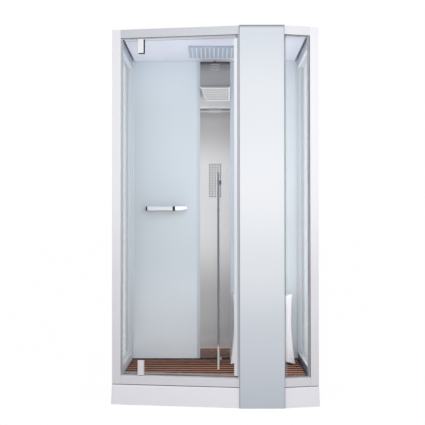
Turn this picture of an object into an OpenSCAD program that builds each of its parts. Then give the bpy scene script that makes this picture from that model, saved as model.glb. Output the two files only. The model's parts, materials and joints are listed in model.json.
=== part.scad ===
// Steam shower cabin: a shallow acrylic tray, an aluminium frame with glass sides, a pivot door
// beside a full-height service column, a steel shower wall, a rain head and a moulded stool.
// Units are millimetres, +Z is up and the front faces -Y. The origin is the middle of the footprint,
// on the floor.

/* [Overall] */
// Width of the shower tray
cabin_w = 1200; // [1150:10:1400]
// Depth of the cabin, from the column's face to the tray's back edge
cabin_d = 900; // [860:10:1100]
// Height of the cabin
cabin_h = 2170; // [2100:10:2300]

/* [Front plan] */
// Distance from the column's face back to the corner of the left front post
left_setback = 132; // [90:2:160]
// Distance from the column's face back to the corner of the right front post
right_setback = 66; // [50:2:90]
// Distance from the tray's right side to the column's right side
column_right = 203; // [190:1:240]
// Width of the column
column_w = 257; // [240:1:270]
// Depth of the column, from its face to its cabin side
column_depth = 115; // [105:1:130]
// How far the column's face stands in front of the frame
column_proud = 15; // [12:1:20]

/* [Tray] */
// Height of the tray's skirt
tray_h = 114; // [105:1:130]
// Thickness of the acrylic
tray_wall = 5; // [4:0.5:6]
// How far the tray stands out past the frame
tray_lip = 5; // [3:1:8]
// Height of the basin's floor above the ground
basin_floor = 70; // [66:1:76]
// Radius of the hole for the waste
waste_hole_r = 45; // [40:1:50]
// Radius of the waste's outlet spigot
spigot_r = 20; // [16:1:21]
// Side of the square steel tubes under the basin
subframe_tube = 20; // [16:1:21]
// Radius of a levelling foot's pad
foot_r = 22; // [18:1:26]

/* [Duckboard] */
// Height of the duckboard's walking surface
deck_top = 156; // [150:1:162]
// Thickness of a slat
slat_t = 22; // [18:1:26]
// Distance from one slat to the next
slat_pitch = 77.6; // [70:0.2:84]
// Gap between two slats
slat_gap = 20; // [8:1:24]
// Width of a bearer under the slats
bearer_w = 30; // [24:1:40]

/* [Frame] */
// Width of the posts and of the bars between them
post_w = 50; // [45:1:55]
// Wall of the aluminium profiles
bar_wall = 2.5; // [2:0.5:3]
// Height of the sills under the door and the front pane
sill_h = 52; // [46:1:56]
// Height of the headers over the door and the front pane
header_h = 50; // [46:1:56]
// Height of the rails under the side panes
side_rail_h = 86; // [76:1:96]
// Height of the rails over the side panes
side_head_h = 96; // [90:1:106]
// Depth of the two rear rails
rear_rail_d = 24; // [22:1:26]

/* [Glass] */
// Thickness of the glass panes
glass_t = 8; // [6:1:10]
// Thickness of the rubber under a pane's edge
gasket_t = 3; // [2:0.5:4]
// Width of rubber on each face of a pane
gasket_side = 4; // [3:0.5:5]
// How far the rubber reaches over a pane
gasket_reach = 10; // [8:1:14]

/* [Door] */
// Height of the door glass above the floor
door_bottom = 178; // [176:1:182]
// Gap between the top of the door glass and the header
door_top_gap = 15; // [14:1:18]
// Distance from the left front post's corner to the pivot's axis
pivot_u = 168; // [150:1:190]
// Radius of the pivot pins
pin_r = 6; // [5:0.5:7]
// Radial clearance of a pivot pin in its bush
pin_clearance = 0.05; // [0.02:0.01:0.1]
// Width of a pivot clamp
clamp_w = 36; // [32:1:44]
// Height of a pivot clamp
clamp_h = 85; // [75:1:95]
// Thickness of a clamp's cheek on each face of the glass
clamp_cheek = 9; // [8:1:11]
// Width of the closing profile on the door's free edge
closing_w = 21; // [18:1:24]
// Depth of the closing profile
closing_d = 24; // [20:1:28]
// Distance from the door's free edge to the handle bar
bar_inset = 105.5; // [60:0.5:160]
// Radius of the handle bar
bar_r = 6; // [5:0.5:7]
// Height of the handle bar's lower end
bar_z0 = 217; // [205:1:400]
// Height of the handle bar's upper end
bar_z1 = 1333; // [1250:1:1500]
// Distance from the glass to the handle bar's axis
bar_reach = 41; // [34:1:42]
// Distance from an end of the handle bar to its stand-off
standoff_inset = 57; // [40:1:90]

/* [Shower wall] */
// Distance from the tray's back edge to the face of the rear panels
panel_setback = 35; // [34:1:44]
// Thickness of the two white rear panels
panel_t = 6; // [5:1:8]
// Height of the rear panels' lower edge
panel_bottom = 157; // [156:1:160]
// Width of the steel shower panel
steel_w = 200; // [190:1:220]
// Thickness of the steel shower panel
steel_t = 3; // [2:0.5:4]
// Offset of the steel panel's middle from the cabin's middle
steel_x = 3; // [-10:1:20]
// Width of the trim on the steel panel's left
trim_left_w = 20; // [14:1:26]
// Width of the trim on the steel panel's right
trim_right_w = 24; // [16:1:30]
// Radius of a jet nozzle
nozzle_r = 3; // [2.5:0.1:3.4]
// Distance between the jets of the large group
jet_pitch = 17.5; // [15:0.5:19]
// Height of the middle of the large group of jets
jet_z = 1331; // [1250:1:1400]

/* [Cascade] */
// How far the cascade head stands out of the wall
cascade_reach = 110; // [90:1:130]
// Distance from the headers down to the cascade head's lower edge at the wall
cascade_drop = 261; // [240:1:270]
// Rise of its sloping underside
cascade_rise = 75; // [60:1:90]
// How much its left side tapers towards the wall
cascade_taper = 36; // [20:1:50]

/* [Fittings] */
// Length of the wall shelf
shelf_l = 268; // [220:1:300]
// Depth of the wall shelf
shelf_d = 85; // [70:1:100]
// Height of the wall shelf's rim
shelf_h = 27; // [22:1:32]
// Height of the shelf's lower face
shelf_z = 1131; // [1050:1:1250]
// Radius of the mixer's body
mixer_r = 21; // [18:1:24]
// Length of the mixer's body
mixer_l = 190; // [180:1:220]
// Height of the mixer's axis
mixer_z = 1050; // [950:1:1150]
// Radius of the two water inlets
inlet_r = 10.4; // [9:0.1:12]
// Distance between the two water inlets
inlet_pitch = 150; // [140:1:160]
// Width of the rain head
rain_w = 310; // [250:2:340]
// Depth of the rain head
rain_d = 340; // [280:2:360]
// Distance from the column's face to the rain head's front edge
rain_y = 362; // [330:2:380]
// Radius of a push button
button_r = 9; // [7:0.5:11]
// Travel of a push button
button_travel = 1.8; // [1:0.1:1.9]

/* [Stool] */
// Half of the stool's width at its feet
stool_foot = 210; // [190:1:215]
// Half of the stool's width at its waist
stool_waist = 184; // [165:1:186]
// Half of the stool's width at its seat
stool_seat = 192; // [188:1:200]
// Half of the stool's depth at its feet
stool_foot_d = 122; // [110:1:124]
// Height of the stool at its raised ends
stool_h = 442; // [380:1:480]
// Wall of the moulded stool
stool_wall = 6; // [4:0.5:8]

/* [Hidden] */
$fn = 48;

// Colours
white = [0.94, 0.94, 0.95];
acrylic = [0.96, 0.96, 0.97];
steel = [0.70, 0.70, 0.69];
chrome = [0.82, 0.83, 0.84];
brass = [0.78, 0.66, 0.36];
teak = [0.48, 0.33, 0.27];
rubber_grey = [0.45, 0.47, 0.49];
clear = [0.80, 0.88, 0.88, 0.35];
satin = [0.87, 0.90, 0.93];
pale_blue = [0.84, 0.89, 0.92];
cut = 1; // how far a cut runs past the face that it opens

// Plan of the frame, counter-clockwise from its left front corner
face_y = -cabin_d / 2;
back_y = cabin_d / 2;
frame_x = cabin_w / 2 - tray_lip;
frame_back = back_y - tray_lip;
column_x1 = cabin_w / 2 - column_right;
column_x0 = column_x1 - column_w;
rail_y = face_y + column_proud;
left_a = [-frame_x, face_y + left_setback];
left_b = [column_x0, rail_y];
right_a = [column_x1, rail_y];
right_b = [frame_x, face_y + right_setback];
right_len = norm(right_b - right_a);
left_angle = atan2(left_b.y - left_a.y, left_b.x - left_a.x);
frame_plan = [left_a, left_b, right_a, right_b, [frame_x, frame_back], [-frame_x, frame_back]];

// Heights of the frame
sill_top = tray_h + sill_h;
header_z = cabin_h - header_h;
side_glass_z0 = tray_h + side_rail_h;
side_glass_z1 = cabin_h - side_head_h;
fascia_t = 10;
trim_w = 2.5;
housing_front = face_y + fascia_t;
housing_back = face_y + column_depth;
housing_wall = 3;

function unit(v) = v / norm(v);
function inward(a, b) = let (d = unit(b - a)) [-d.y, d.x];
// The point u along the line from a to b and v to its left
function along(a, b, u, v) = a + u * unit(b - a) + v * inward(a, b);
// The point at x on the line that runs v to the left of the line from a to b
function at_x(a, b, x, v) =
    let (d = unit(b - a), p = a + v * inward(a, b)) [x, p.y + (x - p.x) * d.y / d.x];
// A counter-clockwise outline drawn in by t on every side
function inset(p, t) = [
    for (i = [0 : len(p) - 1])
        let (q = p[i], a = p[(i + len(p) - 1) % len(p)], b = p[(i + 1) % len(p)])
        let (m = inward(a, q), n = inward(q, b))
        q + t * (m + n) / (1 + m * n)
];
function left_point(u, v) = along(left_a, left_b, u, v);
function right_point(u, v) = along(right_a, right_b, u, v);
function left_at(x, v) = at_x(left_a, left_b, x, v);
function right_at(x, v) = at_x(right_a, right_b, x, v);
// Plans of the bars of the two front walls, run on by e past both ends
function left_bar(e, v0, v1) =
    let (x = column_x0 + e, u = post_w - e)
    [left_point(u, v0), left_at(x, v0), left_at(x, v1), left_point(u, v1)];
function right_bar(e, v0, v1) = [
    right_at(column_x1 - e, v0),
    right_point(right_len - post_w + e, v0),
    right_point(right_len - post_w + e, v1),
    right_at(column_x1 - e, v1)
];

left_post_plan =
    let (p = left_point(post_w, 0), q = left_point(post_w, post_w)) [left_a, p, q, [-frame_x, q.y]];
right_post_plan =
    let (p = right_point(right_len - post_w, 0), q = right_point(right_len - post_w, post_w))
    [p, right_b, [frame_x, q.y], q];
left_side_y = left_post_plan[2].y;
right_side_y = right_post_plan[2].y;
rear_side_y = frame_back - post_w;
inner_x = frame_x - post_w;
panel_y = back_y - panel_setback;
rear_rail_y = panel_y + panel_t;
rear_rail_back = rear_rail_y + rear_rail_d;

// The room inside the frame, back to the given y
function room_plan(y) = [
    [-inner_x, left_side_y], left_post_plan[2], left_at(column_x0, post_w), [column_x0, housing_back],
    [column_x1, housing_back], right_at(column_x1, post_w), right_post_plan[3], [inner_x, right_side_y],
    [inner_x, y], [-inner_x, y]
];

// A plan raised from z0 to z1
module prism(plan, z0, z1) {
    translate([0, 0, z0])
        linear_extrude(z1 - z0)
            polygon(plan);
}

// A box between two opposite corners
module box(p, q) {
    translate(p)
        cube(q - p);
}

// A round bar from a to b, for bars that run along X, Y or Z
module rod(a, b, r) {
    d = b - a;
    translate(a)
        rotate([0, acos(d.z / norm(d)), atan2(d.y, d.x)])
            cylinder(r = r, h = norm(d));
}

// A round tube bent sharply at its middle points
module pipe_run(points, r) {
    for (i = [0 : len(points) - 2])
        rod(points[i], points[i + 1], r);
    for (i = [1 : 1 : len(points) - 2])
        translate(points[i])
            sphere(r = r);
}

// Places its children in the left front wall: X along the wall, Y into the cabin
module on_left_wall() {
    translate([left_a.x, left_a.y, 0])
        rotate([0, 0, left_angle])
            children();
}

// ---------------------------------------------------------------- tray and duckboard

tray_plan = inset(frame_plan, -tray_lip);
basin_margin = post_w + 12;
basin_plan = inset(frame_plan, basin_margin);
waste_x = -120;
waste_y = 200;
spigot_z = 24;
notch_w = 70;
notch_h = 60;
gland_inset = 120;
gland_x = column_x0 + gland_inset;
gland_z = 30;
gland_r = 10;

module base_tray() {
    color(acrylic)
        difference() {
            union() {
                difference() {
                    prism(tray_plan, 0, tray_h);
                    prism(inset(tray_plan, tray_wall), -cut, tray_h - tray_wall);
                }
                prism(inset(basin_plan, -tray_wall), basin_floor - tray_wall + 1, tray_h);
            }
            prism(basin_plan, basin_floor, tray_h + cut);
            translate([waste_x, waste_y, 0])
                cylinder(r = waste_hole_r, h = tray_h);
            box([waste_x - notch_w / 2, back_y - 2 * tray_wall, -cut],
                [waste_x + notch_w / 2, back_y + cut, notch_h]);
            rod([gland_x, back_y - 2 * tray_wall, gland_z], [gland_x, back_y + cut, gland_z], gland_r);
        }
}

subframe_top = basin_floor - tray_wall + 1;
subframe_z = subframe_top - subframe_tube;
support_inset = 100;
support_front = 240;
support_back = 80;
subframe_x = cabin_w / 2 - support_inset;
subframe_y0 = face_y + support_front;
subframe_y1 = back_y - support_back;
subframe_rows = [subframe_y0, (subframe_y0 + subframe_y1) / 2, subframe_y1];
stud_r = 5;
stud_clearance = 0.2;

module tray_frame() {
    tube_gap = 2;
    half = subframe_tube / 2;
    color(steel)
        difference() {
            union() {
                for (y = subframe_rows)
                    box([-subframe_x, y - half, subframe_z], [subframe_x, y + half, subframe_top]);
                for (x = [-subframe_x, subframe_x])
                    box([x - half, subframe_y0 - half, subframe_z], [x + half, subframe_y1 + half, subframe_top]);
            }
            for (x = [-subframe_x, subframe_x], y = subframe_rows)
                translate([x, y, subframe_z - cut])
                    cylinder(r = stud_r + stud_clearance, h = subframe_tube - tube_gap + cut);
        }
}

module levelling_feet() {
    pad_h = 8;
    nut_r = 9;
    nut_h = 6;
    color(rubber_grey)
        for (x = [-subframe_x, subframe_x], y = subframe_rows)
            translate([x, y, 0]) {
                cylinder(r = foot_r, h = pad_h);
                cylinder(r = stud_r, h = subframe_top - 2 * gasket_t);
                translate([0, 0, subframe_z - nut_h])
                    cylinder(r = nut_r, h = nut_h, $fn = 6);
            }
}

flange_r = waste_hole_r + 10;
flange_t = 3;

module waste_trap() {
    cup_z = 4;
    neck_r = waste_hole_r - 1;
    spigot_l = 60;
    pipe_wall = 3;
    shoulder_y = back_y - 1 - spigot_l;
    color(white)
        difference() {
            union() {
                translate([waste_x, waste_y, basin_floor])
                    cylinder(r = flange_r, h = flange_t);
                translate([waste_x, waste_y, cup_z])
                    cylinder(r = neck_r, h = basin_floor - cup_z + 1);
                rod([waste_x, waste_y, spigot_z], [waste_x, shoulder_y, spigot_z], spigot_r - 1.5);
                rod([waste_x, shoulder_y, spigot_z], [waste_x, back_y - 1, spigot_z], spigot_r);
            }
            translate([waste_x, waste_y, cup_z + tray_wall])
                cylinder(r = neck_r - tray_wall, h = tray_h);
            rod([waste_x, waste_y, spigot_z], [waste_x, back_y + cut, spigot_z], spigot_r - 1.5 - pipe_wall);
        }
}

module waste_grate() {
    slots = 4;
    grate_t = 3;
    top_z = basin_floor + flange_t;
    color(chrome)
        difference() {
            translate([waste_x, waste_y, top_z])
                cylinder(r = flange_r - 3, h = grate_t);
            for (i = [0 : slots - 1])
                translate([waste_x - 30, waste_y - 27 + 16 * i, top_z - cut])
                    cube([60, 6, grate_t + 2 * cut]);
        }
}

module cable_gland() {
    bore_r = 6;
    flange = 4;
    skin_y = back_y - tray_wall;
    color(rubber_grey)
        difference() {
            union() {
                rod([gland_x, back_y - 20, gland_z], [gland_x, back_y, gland_z], gland_r - 0.2);
                rod([gland_x, skin_y - flange, gland_z], [gland_x, skin_y, gland_z], gland_r + flange);
            }
            rod([gland_x, back_y - 20 - cut, gland_z], [gland_x, back_y + cut, gland_z], bore_r);
        }
}

slat_rear = panel_y - 47;
slat_count = 10;
bearer_xs = [for (i = [-2 : 2]) i * subframe_x / 2];
bearer_z1 = deck_top - slat_t;

module duckboard_slats() {
    slat_w = slat_pitch - slat_gap;
    color(teak)
        intersection() {
            for (i = [0 : slat_count - 1])
                translate([-frame_x, slat_rear - slat_w - i * slat_pitch, bearer_z1])
                    cube([2 * frame_x, slat_w, slat_t]);
            prism(inset(room_plan(panel_y), 4), bearer_z1 - cut, deck_top + cut);
        }
}

module duckboard_bearers() {
    color(teak)
        intersection() {
            for (x = bearer_xs)
                box([x - bearer_w / 2, face_y, basin_floor], [x + bearer_w / 2, slat_rear, bearer_z1]);
            prism(inset(basin_plan, 6), 0, cabin_h);
            prism(inset(room_plan(panel_y), 10), 0, cabin_h);
        }
}

// ---------------------------------------------------------------- frame

module hollow_post(plan) {
    difference() {
        prism(plan, tray_h, cabin_h);
        prism(inset(plan, bar_wall), tray_h - cut, cabin_h - bar_wall);
    }
}

module rear_post(side) {
    x0 = side < 0 ? -frame_x : inner_x;
    hollow_post([[x0, rear_side_y], [x0 + post_w, rear_side_y], [x0 + post_w, frame_back], [x0, frame_back]]);
}

module front_left_post() {
    color(white) hollow_post(left_post_plan);
}

module front_right_post() {
    color(white) hollow_post(right_post_plan);
}

module rear_left_post() {
    color(white) rear_post(-1);
}

module rear_right_post() {
    color(white) rear_post(1);
}

// A hollow bar of a front wall between two heights
module front_bar(outer, inner, z0, z1) {
    difference() {
        prism(outer, z0, z1);
        prism(inner, z0 + bar_wall, z1 - bar_wall);
    }
}

bush_r = 10;
bush_flange_r = 14;
bush_flange_t = 1.5;
bush_depth = 20;

// The hole in a bar that holds a pivot bush
module bush_hole(z) {
    on_left_wall()
        translate([pivot_u, door_v, z])
            cylinder(r = bush_r, h = bush_depth / 2);
}

module front_left_sill() {
    color(white)
        difference() {
            front_bar(left_bar(0, 0, post_w), left_bar(cut, bar_wall, post_w - bar_wall), tray_h, sill_top);
            bush_hole(sill_top - bush_depth / 4);
        }
}

module front_right_sill() {
    color(white)
        front_bar(right_bar(0, 0, post_w), right_bar(cut, bar_wall, post_w - bar_wall), tray_h, sill_top);
}

module front_left_header() {
    color(white)
        difference() {
            front_bar(left_bar(0, 0, post_w), left_bar(cut, bar_wall, post_w - bar_wall), header_z, cabin_h);
            bush_hole(header_z - bush_depth / 4);
        }
}

module front_right_header() {
    color(white)
        front_bar(right_bar(0, 0, post_w), right_bar(cut, bar_wall, post_w - bar_wall), header_z, cabin_h);
}

// A hollow rail of a side wall; side is -1 on the left and 1 on the right
module side_rail(side, y0, z0, z1) {
    x0 = side < 0 ? -frame_x : inner_x;
    color(white)
        difference() {
            box([x0, y0, z0], [x0 + post_w, rear_side_y, z1]);
            box([x0 + bar_wall, y0 - cut, z0 + bar_wall],
                [x0 + post_w - bar_wall, rear_side_y + cut, z1 - bar_wall]);
        }
}

module left_bottom_rail() {
    side_rail(-1, left_side_y, tray_h, side_glass_z0);
}

module right_bottom_rail() {
    side_rail(1, right_side_y, tray_h, side_glass_z0);
}

module left_top_rail() {
    side_rail(-1, left_side_y, side_glass_z1, cabin_h);
}

module right_top_rail() {
    side_rail(1, right_side_y, side_glass_z1, cabin_h);
}

// A hollow rail across the back
module rear_rail(z0, z1) {
    difference() {
        box([-inner_x, rear_rail_y, z0], [inner_x, rear_rail_back, z1]);
        box([-inner_x - cut, rear_rail_y + bar_wall, z0 + bar_wall],
            [inner_x + cut, rear_rail_back - bar_wall, z1 - bar_wall]);
    }
}

module rear_bottom_rail() {
    color(white) rear_rail(tray_h, tray_h + post_w);
}

riser_y = rear_rail_y + rear_rail_d / 2;
pipe_r = 7;
feed_z = cabin_h - 25;

module rear_top_rail() {
    slot_w = 2 * pipe_r + 8;
    color(white)
        difference() {
            rear_rail(header_z, cabin_h);
            box([steel_x - slot_w / 2, rear_rail_y - cut, header_z - cut],
                [steel_x + slot_w / 2, riser_y + slot_w / 2, feed_z + slot_w / 2]);
        }
}

// ---------------------------------------------------------------- glass

side_glass_x = frame_x - post_w / 2;
fixed_v = post_w / 2;
fixed_u0 = post_w / 4;
fixed_u1 = right_len - post_w - gasket_t;

module side_glass(side, y0) {
    x = side * side_glass_x;
    box([x - glass_t / 2, y0 + gasket_t, side_glass_z0 + gasket_t],
        [x + glass_t / 2, rear_side_y - gasket_t, side_glass_z1 - gasket_t]);
}

module left_side_glass() {
    color(clear) side_glass(-1, left_side_y);
}

module right_side_glass() {
    color(clear) side_glass(1, right_side_y);
}

module front_fixed_glass() {
    color(clear)
        prism([
            right_point(fixed_u0, fixed_v - glass_t / 2), right_point(fixed_u1, fixed_v - glass_t / 2),
            right_point(fixed_u1, fixed_v + glass_t / 2), right_point(fixed_u0, fixed_v + glass_t / 2)
        ], sill_top + gasket_t, header_z - gasket_t);
}

// The rubber around a side pane: a frame of U section
module side_gasket(side, y0) {
    x = side * side_glass_x;
    w = glass_t / 2 + gasket_side;
    r = gasket_t + gasket_reach;
    difference() {
        box([x - w, y0, side_glass_z0], [x + w, rear_side_y, side_glass_z1]);
        box([x - w - cut, y0 + r, side_glass_z0 + r], [x + w + cut, rear_side_y - r, side_glass_z1 - r]);
        side_glass(side, y0);
    }
}

module glass_gaskets() {
    v0 = fixed_v - glass_t / 2 - gasket_side;
    v1 = fixed_v + glass_t / 2 + gasket_side;
    u0 = fixed_u0 + gasket_reach;
    u1 = fixed_u1 - gasket_reach;
    reach = gasket_t + gasket_reach;
    seal_w = inner_x - panel_end;
    seal_proud = 1;
    color(rubber_grey) {
        side_gasket(-1, left_side_y);
        side_gasket(1, right_side_y);
        difference() {
            prism(right_bar(0, v0, v1), sill_top, header_z);
            prism([
                right_point(u0, v0 - cut), right_point(u1, v0 - cut),
                right_point(u1, v1 + cut), right_point(u0, v1 + cut)
            ], sill_top + reach, header_z - reach);
            front_fixed_glass();
        }
        for (x = [-inner_x, panel_end])
            box([x, panel_y - seal_proud, panel_bottom], [x + seal_w, rear_rail_y, panel_top]);
    }
}

// ---------------------------------------------------------------- column

module column_fascia() {
    color(satin)
        box([column_x0 + trim_w, face_y, 0], [column_x1 - trim_w, housing_front, cabin_h]);
}

module column_edge_trims() {
    color(rubber_grey)
        for (x = [column_x0, column_x1 - trim_w])
            box([x, face_y, 0], [x + trim_w, housing_front, cabin_h]);
}

outlet_x = column_x0 + column_w / 2;
outlet_z = 420;
outlet_r = 11;
keypad_z = 1250;

module column_housing() {
    color(white)
        difference() {
            box([column_x0, housing_front, tray_h], [column_x1, housing_back, cabin_h]);
            box([column_x0 + housing_wall, housing_front - cut, tray_h + housing_wall],
                [column_x1 - housing_wall, housing_back - housing_wall, cabin_h - housing_wall]);
            rod([outlet_x, housing_back - 2 * housing_wall, outlet_z],
                [outlet_x, housing_back + cut, outlet_z], outlet_r + 1);
        }
}

// The magnet strip on the column that the door closes against
module strike_profile() {
    gap = 1.2;
    u0 = door_u1 + gap;
    v0 = door_v - closing_d / 2;
    v1 = door_v + closing_d / 2;
    color(rubber_grey)
        prism([
            left_point(u0, v0), left_at(column_x0, v0), left_at(column_x0, v1), left_point(u0, v1)
        ], sill_top, header_z);
}

boiler_r = 38;
boiler_z0 = 330;
boiler_h = 480;
boiler_y = housing_back - housing_wall - 8 - boiler_r;

module steam_generator() {
    bracket_w = 60;
    bracket_h = 24;
    color(steel) {
        translate([outlet_x, boiler_y, boiler_z0])
            cylinder(r = boiler_r, h = boiler_h);
        translate([outlet_x, boiler_y, boiler_z0 + boiler_h])
            cylinder(r = boiler_r / 2, h = 40);
        for (z = [boiler_z0 + 30, boiler_z0 + boiler_h - 60])
            box([outlet_x - bracket_w / 2, boiler_y, z],
                [outlet_x + bracket_w / 2, housing_back - housing_wall, z + bracket_h]);
    }
}

module steam_outlet() {
    hood_r = 32;
    hood_t = 16;
    hood_wall = 4;
    hood_y = housing_back + hood_t;
    pipe_y = boiler_y + boiler_r;
    color(chrome)
        difference() {
            union() {
                rod([outlet_x, pipe_y, outlet_z], [outlet_x, hood_y, outlet_z], outlet_r);
                rod([outlet_x, housing_back, outlet_z], [outlet_x, hood_y, outlet_z], hood_r);
            }
            rod([outlet_x, pipe_y - cut, outlet_z], [outlet_x, hood_y - hood_wall, outlet_z], outlet_r - 3);
            box([outlet_x - hood_r / 2, housing_back + hood_wall, outlet_z - 2 * hood_r],
                [outlet_x + hood_r / 2, hood_y - hood_wall, outlet_z]);
        }
}

module control_unit() {
    w = 180;
    h = 140;
    d = 55;
    z = keypad_z + 120;
    y = housing_back - housing_wall;
    color(rubber_grey)
        box([outlet_x - w / 2, y - d, z], [outlet_x + w / 2, y, z + h]);
}

bezel_t = 8;
button_gap = 0.3;
button_zs = [keypad_z - 22, keypad_z + 22];

module keypad_bezel() {
    w = 60;
    h = 120;
    color(white)
        difference() {
            box([outlet_x - w / 2, housing_back, keypad_z - h / 2],
                [outlet_x + w / 2, housing_back + bezel_t, keypad_z + h / 2]);
            for (z = button_zs)
                rod([outlet_x, housing_back - cut, z],
                    [outlet_x, housing_back + bezel_t + cut, z], button_r + button_gap);
        }
}

module push_button(z) {
    proud = 2.5;
    rod([outlet_x, housing_back + 2, z], [outlet_x, housing_back + bezel_t + proud, z], button_r);
}

module power_button() {
    color(chrome) push_button(button_zs[1]);
}

module steam_button() {
    color(chrome) push_button(button_zs[0]);
}

// ---------------------------------------------------------------- rear wall

panel_end = inner_x - 11;
steel_x0 = steel_x - steel_w / 2;
steel_x1 = steel_x + steel_w / 2;
panel_top = header_z + 4;
steel_top = header_z - 1;

module rear_panel(x0, x1) {
    box([x0, panel_y, panel_bottom], [x1, panel_y + panel_t, panel_top]);
}

module back_panel_left() {
    color(pale_blue) rear_panel(-panel_end, steel_x0 - trim_left_w);
}

mixer_x = column_x0 + column_w / 2 + 32;
tail_xs = [mixer_x - inlet_pitch / 2, mixer_x, mixer_x + inlet_pitch / 2];

module back_panel_right() {
    color(pale_blue)
        difference() {
            rear_panel(steel_x1 + trim_right_w, panel_end);
            for (x = tail_xs)
                rod([x, panel_y - cut, mixer_z], [x, rear_rail_y + cut, mixer_z], inlet_r);
        }
}

module panel_trims() {
    color([0.66, 0.73, 0.78]) {
        box([steel_x0 - trim_left_w, panel_y, panel_bottom], [steel_x0, panel_y + panel_t, steel_top]);
        box([steel_x1, panel_y, panel_bottom], [steel_x1 + trim_right_w, panel_y + panel_t, steel_top]);
    }
}

cascade_z = header_z - cascade_drop;
under_drop = 53;
under_pitch_x = 17;
under_pitch_z = 15.7;
top_drop = 36;
top_pitch_x = 15;
top_pitch_z = 17;
// Jet groups: columns, rows, pitch across, pitch up, height of the middle
jet_groups = [
    [5, 13, jet_pitch, jet_pitch, jet_z],
    [5, 4, under_pitch_x, under_pitch_z, cascade_z - under_drop],
    [4, 3, top_pitch_x, top_pitch_z, header_z - top_drop]
];
mat_t = 4;
mat_margin = 9;

// Places its child at every jet of a group
module at_jets(group) {
    for (i = [0 : group[0] - 1], j = [0 : group[1] - 1])
        translate([
            steel_x + (i - (group[0] - 1) / 2) * group[2], panel_y,
            group[4] + (j - (group[1] - 1) / 2) * group[3]
        ])
            children();
}

// A block behind a group of jets, from y0 to y1, with a margin around the outer jets
module jet_block(group, y0, y1, margin) {
    half_w = (group[0] - 1) / 2 * group[2] + margin;
    half_h = (group[1] - 1) / 2 * group[3] + margin;
    box([steel_x - half_w, y0, group[4] - half_h], [steel_x + half_w, y1, group[4] + half_h]);
}

module shower_panel() {
    hole_gap = 0.4;
    color(steel)
        difference() {
            box([steel_x0, panel_y, panel_bottom], [steel_x1, panel_y + steel_t, steel_top]);
            for (group = jet_groups)
                at_jets(group)
                    rod([0, -cut, 0], [0, steel_t + cut, 0], nozzle_r + hole_gap, $fn = 20);
            rod([steel_x, panel_y - cut, inlet_z],
                [steel_x, panel_y + steel_t + cut, inlet_z], pipe_r + hole_gap);
        }
}

module jet_nozzles() {
    proud = 2;
    color(rubber_grey)
        for (group = jet_groups)
            union() {
                jet_block(group, panel_y + steel_t, panel_y + steel_t + mat_t, mat_margin);
                at_jets(group)
                    rod([0, -proud, 0], [0, steel_t + mat_t / 2, 0], nozzle_r, $fn = 20);
            }
}

manifold_back = riser_y + pipe_r + 1;

module jet_manifolds() {
    wall = 2.5;
    riser_cut = 500;
    y0 = panel_y + steel_t + mat_t;
    color(rubber_grey)
        for (group = jet_groups)
            difference() {
                jet_block(group, y0, manifold_back, mat_margin);
                jet_block(group, y0 - cut, manifold_back - wall, mat_margin - wall);
                rod([steel_x, riser_y, group[4] - riser_cut], [steel_x, riser_y, group[4] + riser_cut], pipe_r);
            }
}

cascade_x0 = steel_x0 + 3;
cascade_x1 = steel_x1 - 3;
cascade_y = panel_y - cascade_reach;
cascade_lip = 8;
cascade_slope = atan2(cascade_rise, cascade_reach);
plate_t = 2;
inlet_z = cascade_z + cascade_rise / 2 + 10;

// The plan of the cascade head, tapered on its left towards the wall
cascade_plan = [
    [cascade_x0, cascade_y], [cascade_x1, cascade_y],
    [cascade_x1, panel_y], [cascade_x0 + cascade_taper, panel_y]
];

// A section of the cascade head, given as points of y and z, cut to its plan
module cascade_slice(section, inset_by) {
    intersection() {
        translate([cascade_x0 - cut, 0, 0])
            rotate([90, 0, 90])
                linear_extrude(steel_w)
                    polygon(section);
        prism(inset(cascade_plan, inset_by), cascade_z - cabin_h / 8, cascade_z + cabin_h / 8);
    }
}

plate_rise = plate_t / cos(cascade_slope);
cascade_front = cascade_z + cascade_rise;

module cascade_body() {
    wall = 3;
    top_z = cascade_front + cascade_lip + 12;
    feed_r = pipe_r - 3;
    floor_rise = plate_rise - 3;
    front = cascade_y + 3 * wall;
    color(white)
        difference() {
            cascade_slice([
                [panel_y, cascade_z + plate_rise], [cascade_y, cascade_front + plate_rise],
                [cascade_y, cascade_front + cascade_lip], [panel_y, top_z]
            ], 0);
            cascade_slice([
                [panel_y - wall, cascade_z + floor_rise], [front, cascade_front + floor_rise],
                [front, cascade_front + cascade_lip - wall], [panel_y - wall, top_z - wall]
            ], wall);
            rod([steel_x, panel_y - 2 * wall, inlet_z], [steel_x, panel_y + cut, inlet_z], feed_r);
        }
}

module cascade_plate() {
    hole_r = 3;
    rows = 6;
    columns = 12;
    edge = 14;
    pitch = 15;
    rim = 8;
    color(steel)
        difference() {
            cascade_slice([
                [panel_y, cascade_z], [cascade_y, cascade_front],
                [cascade_y, cascade_front + plate_rise], [panel_y, cascade_z + plate_rise]
            ], 0);
            for (i = [0 : columns - 1], j = [0 : rows - 1])
                let (x = edge + i * pitch, y = panel_y - (j + 0.75) * cascade_reach / rows)
                if (x > cascade_taper * (1 - (j + 1) / rows) + rim)
                    translate([cascade_x0 + x, y, cascade_z - rim])
                        cylinder(r = hole_r, h = cascade_rise + 2 * rim, $fn = 16);
        }
}

// ---------------------------------------------------------------- shelf and mixer

shelf_inset = 95;
shelf_x0 = -inner_x + shelf_inset;

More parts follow.
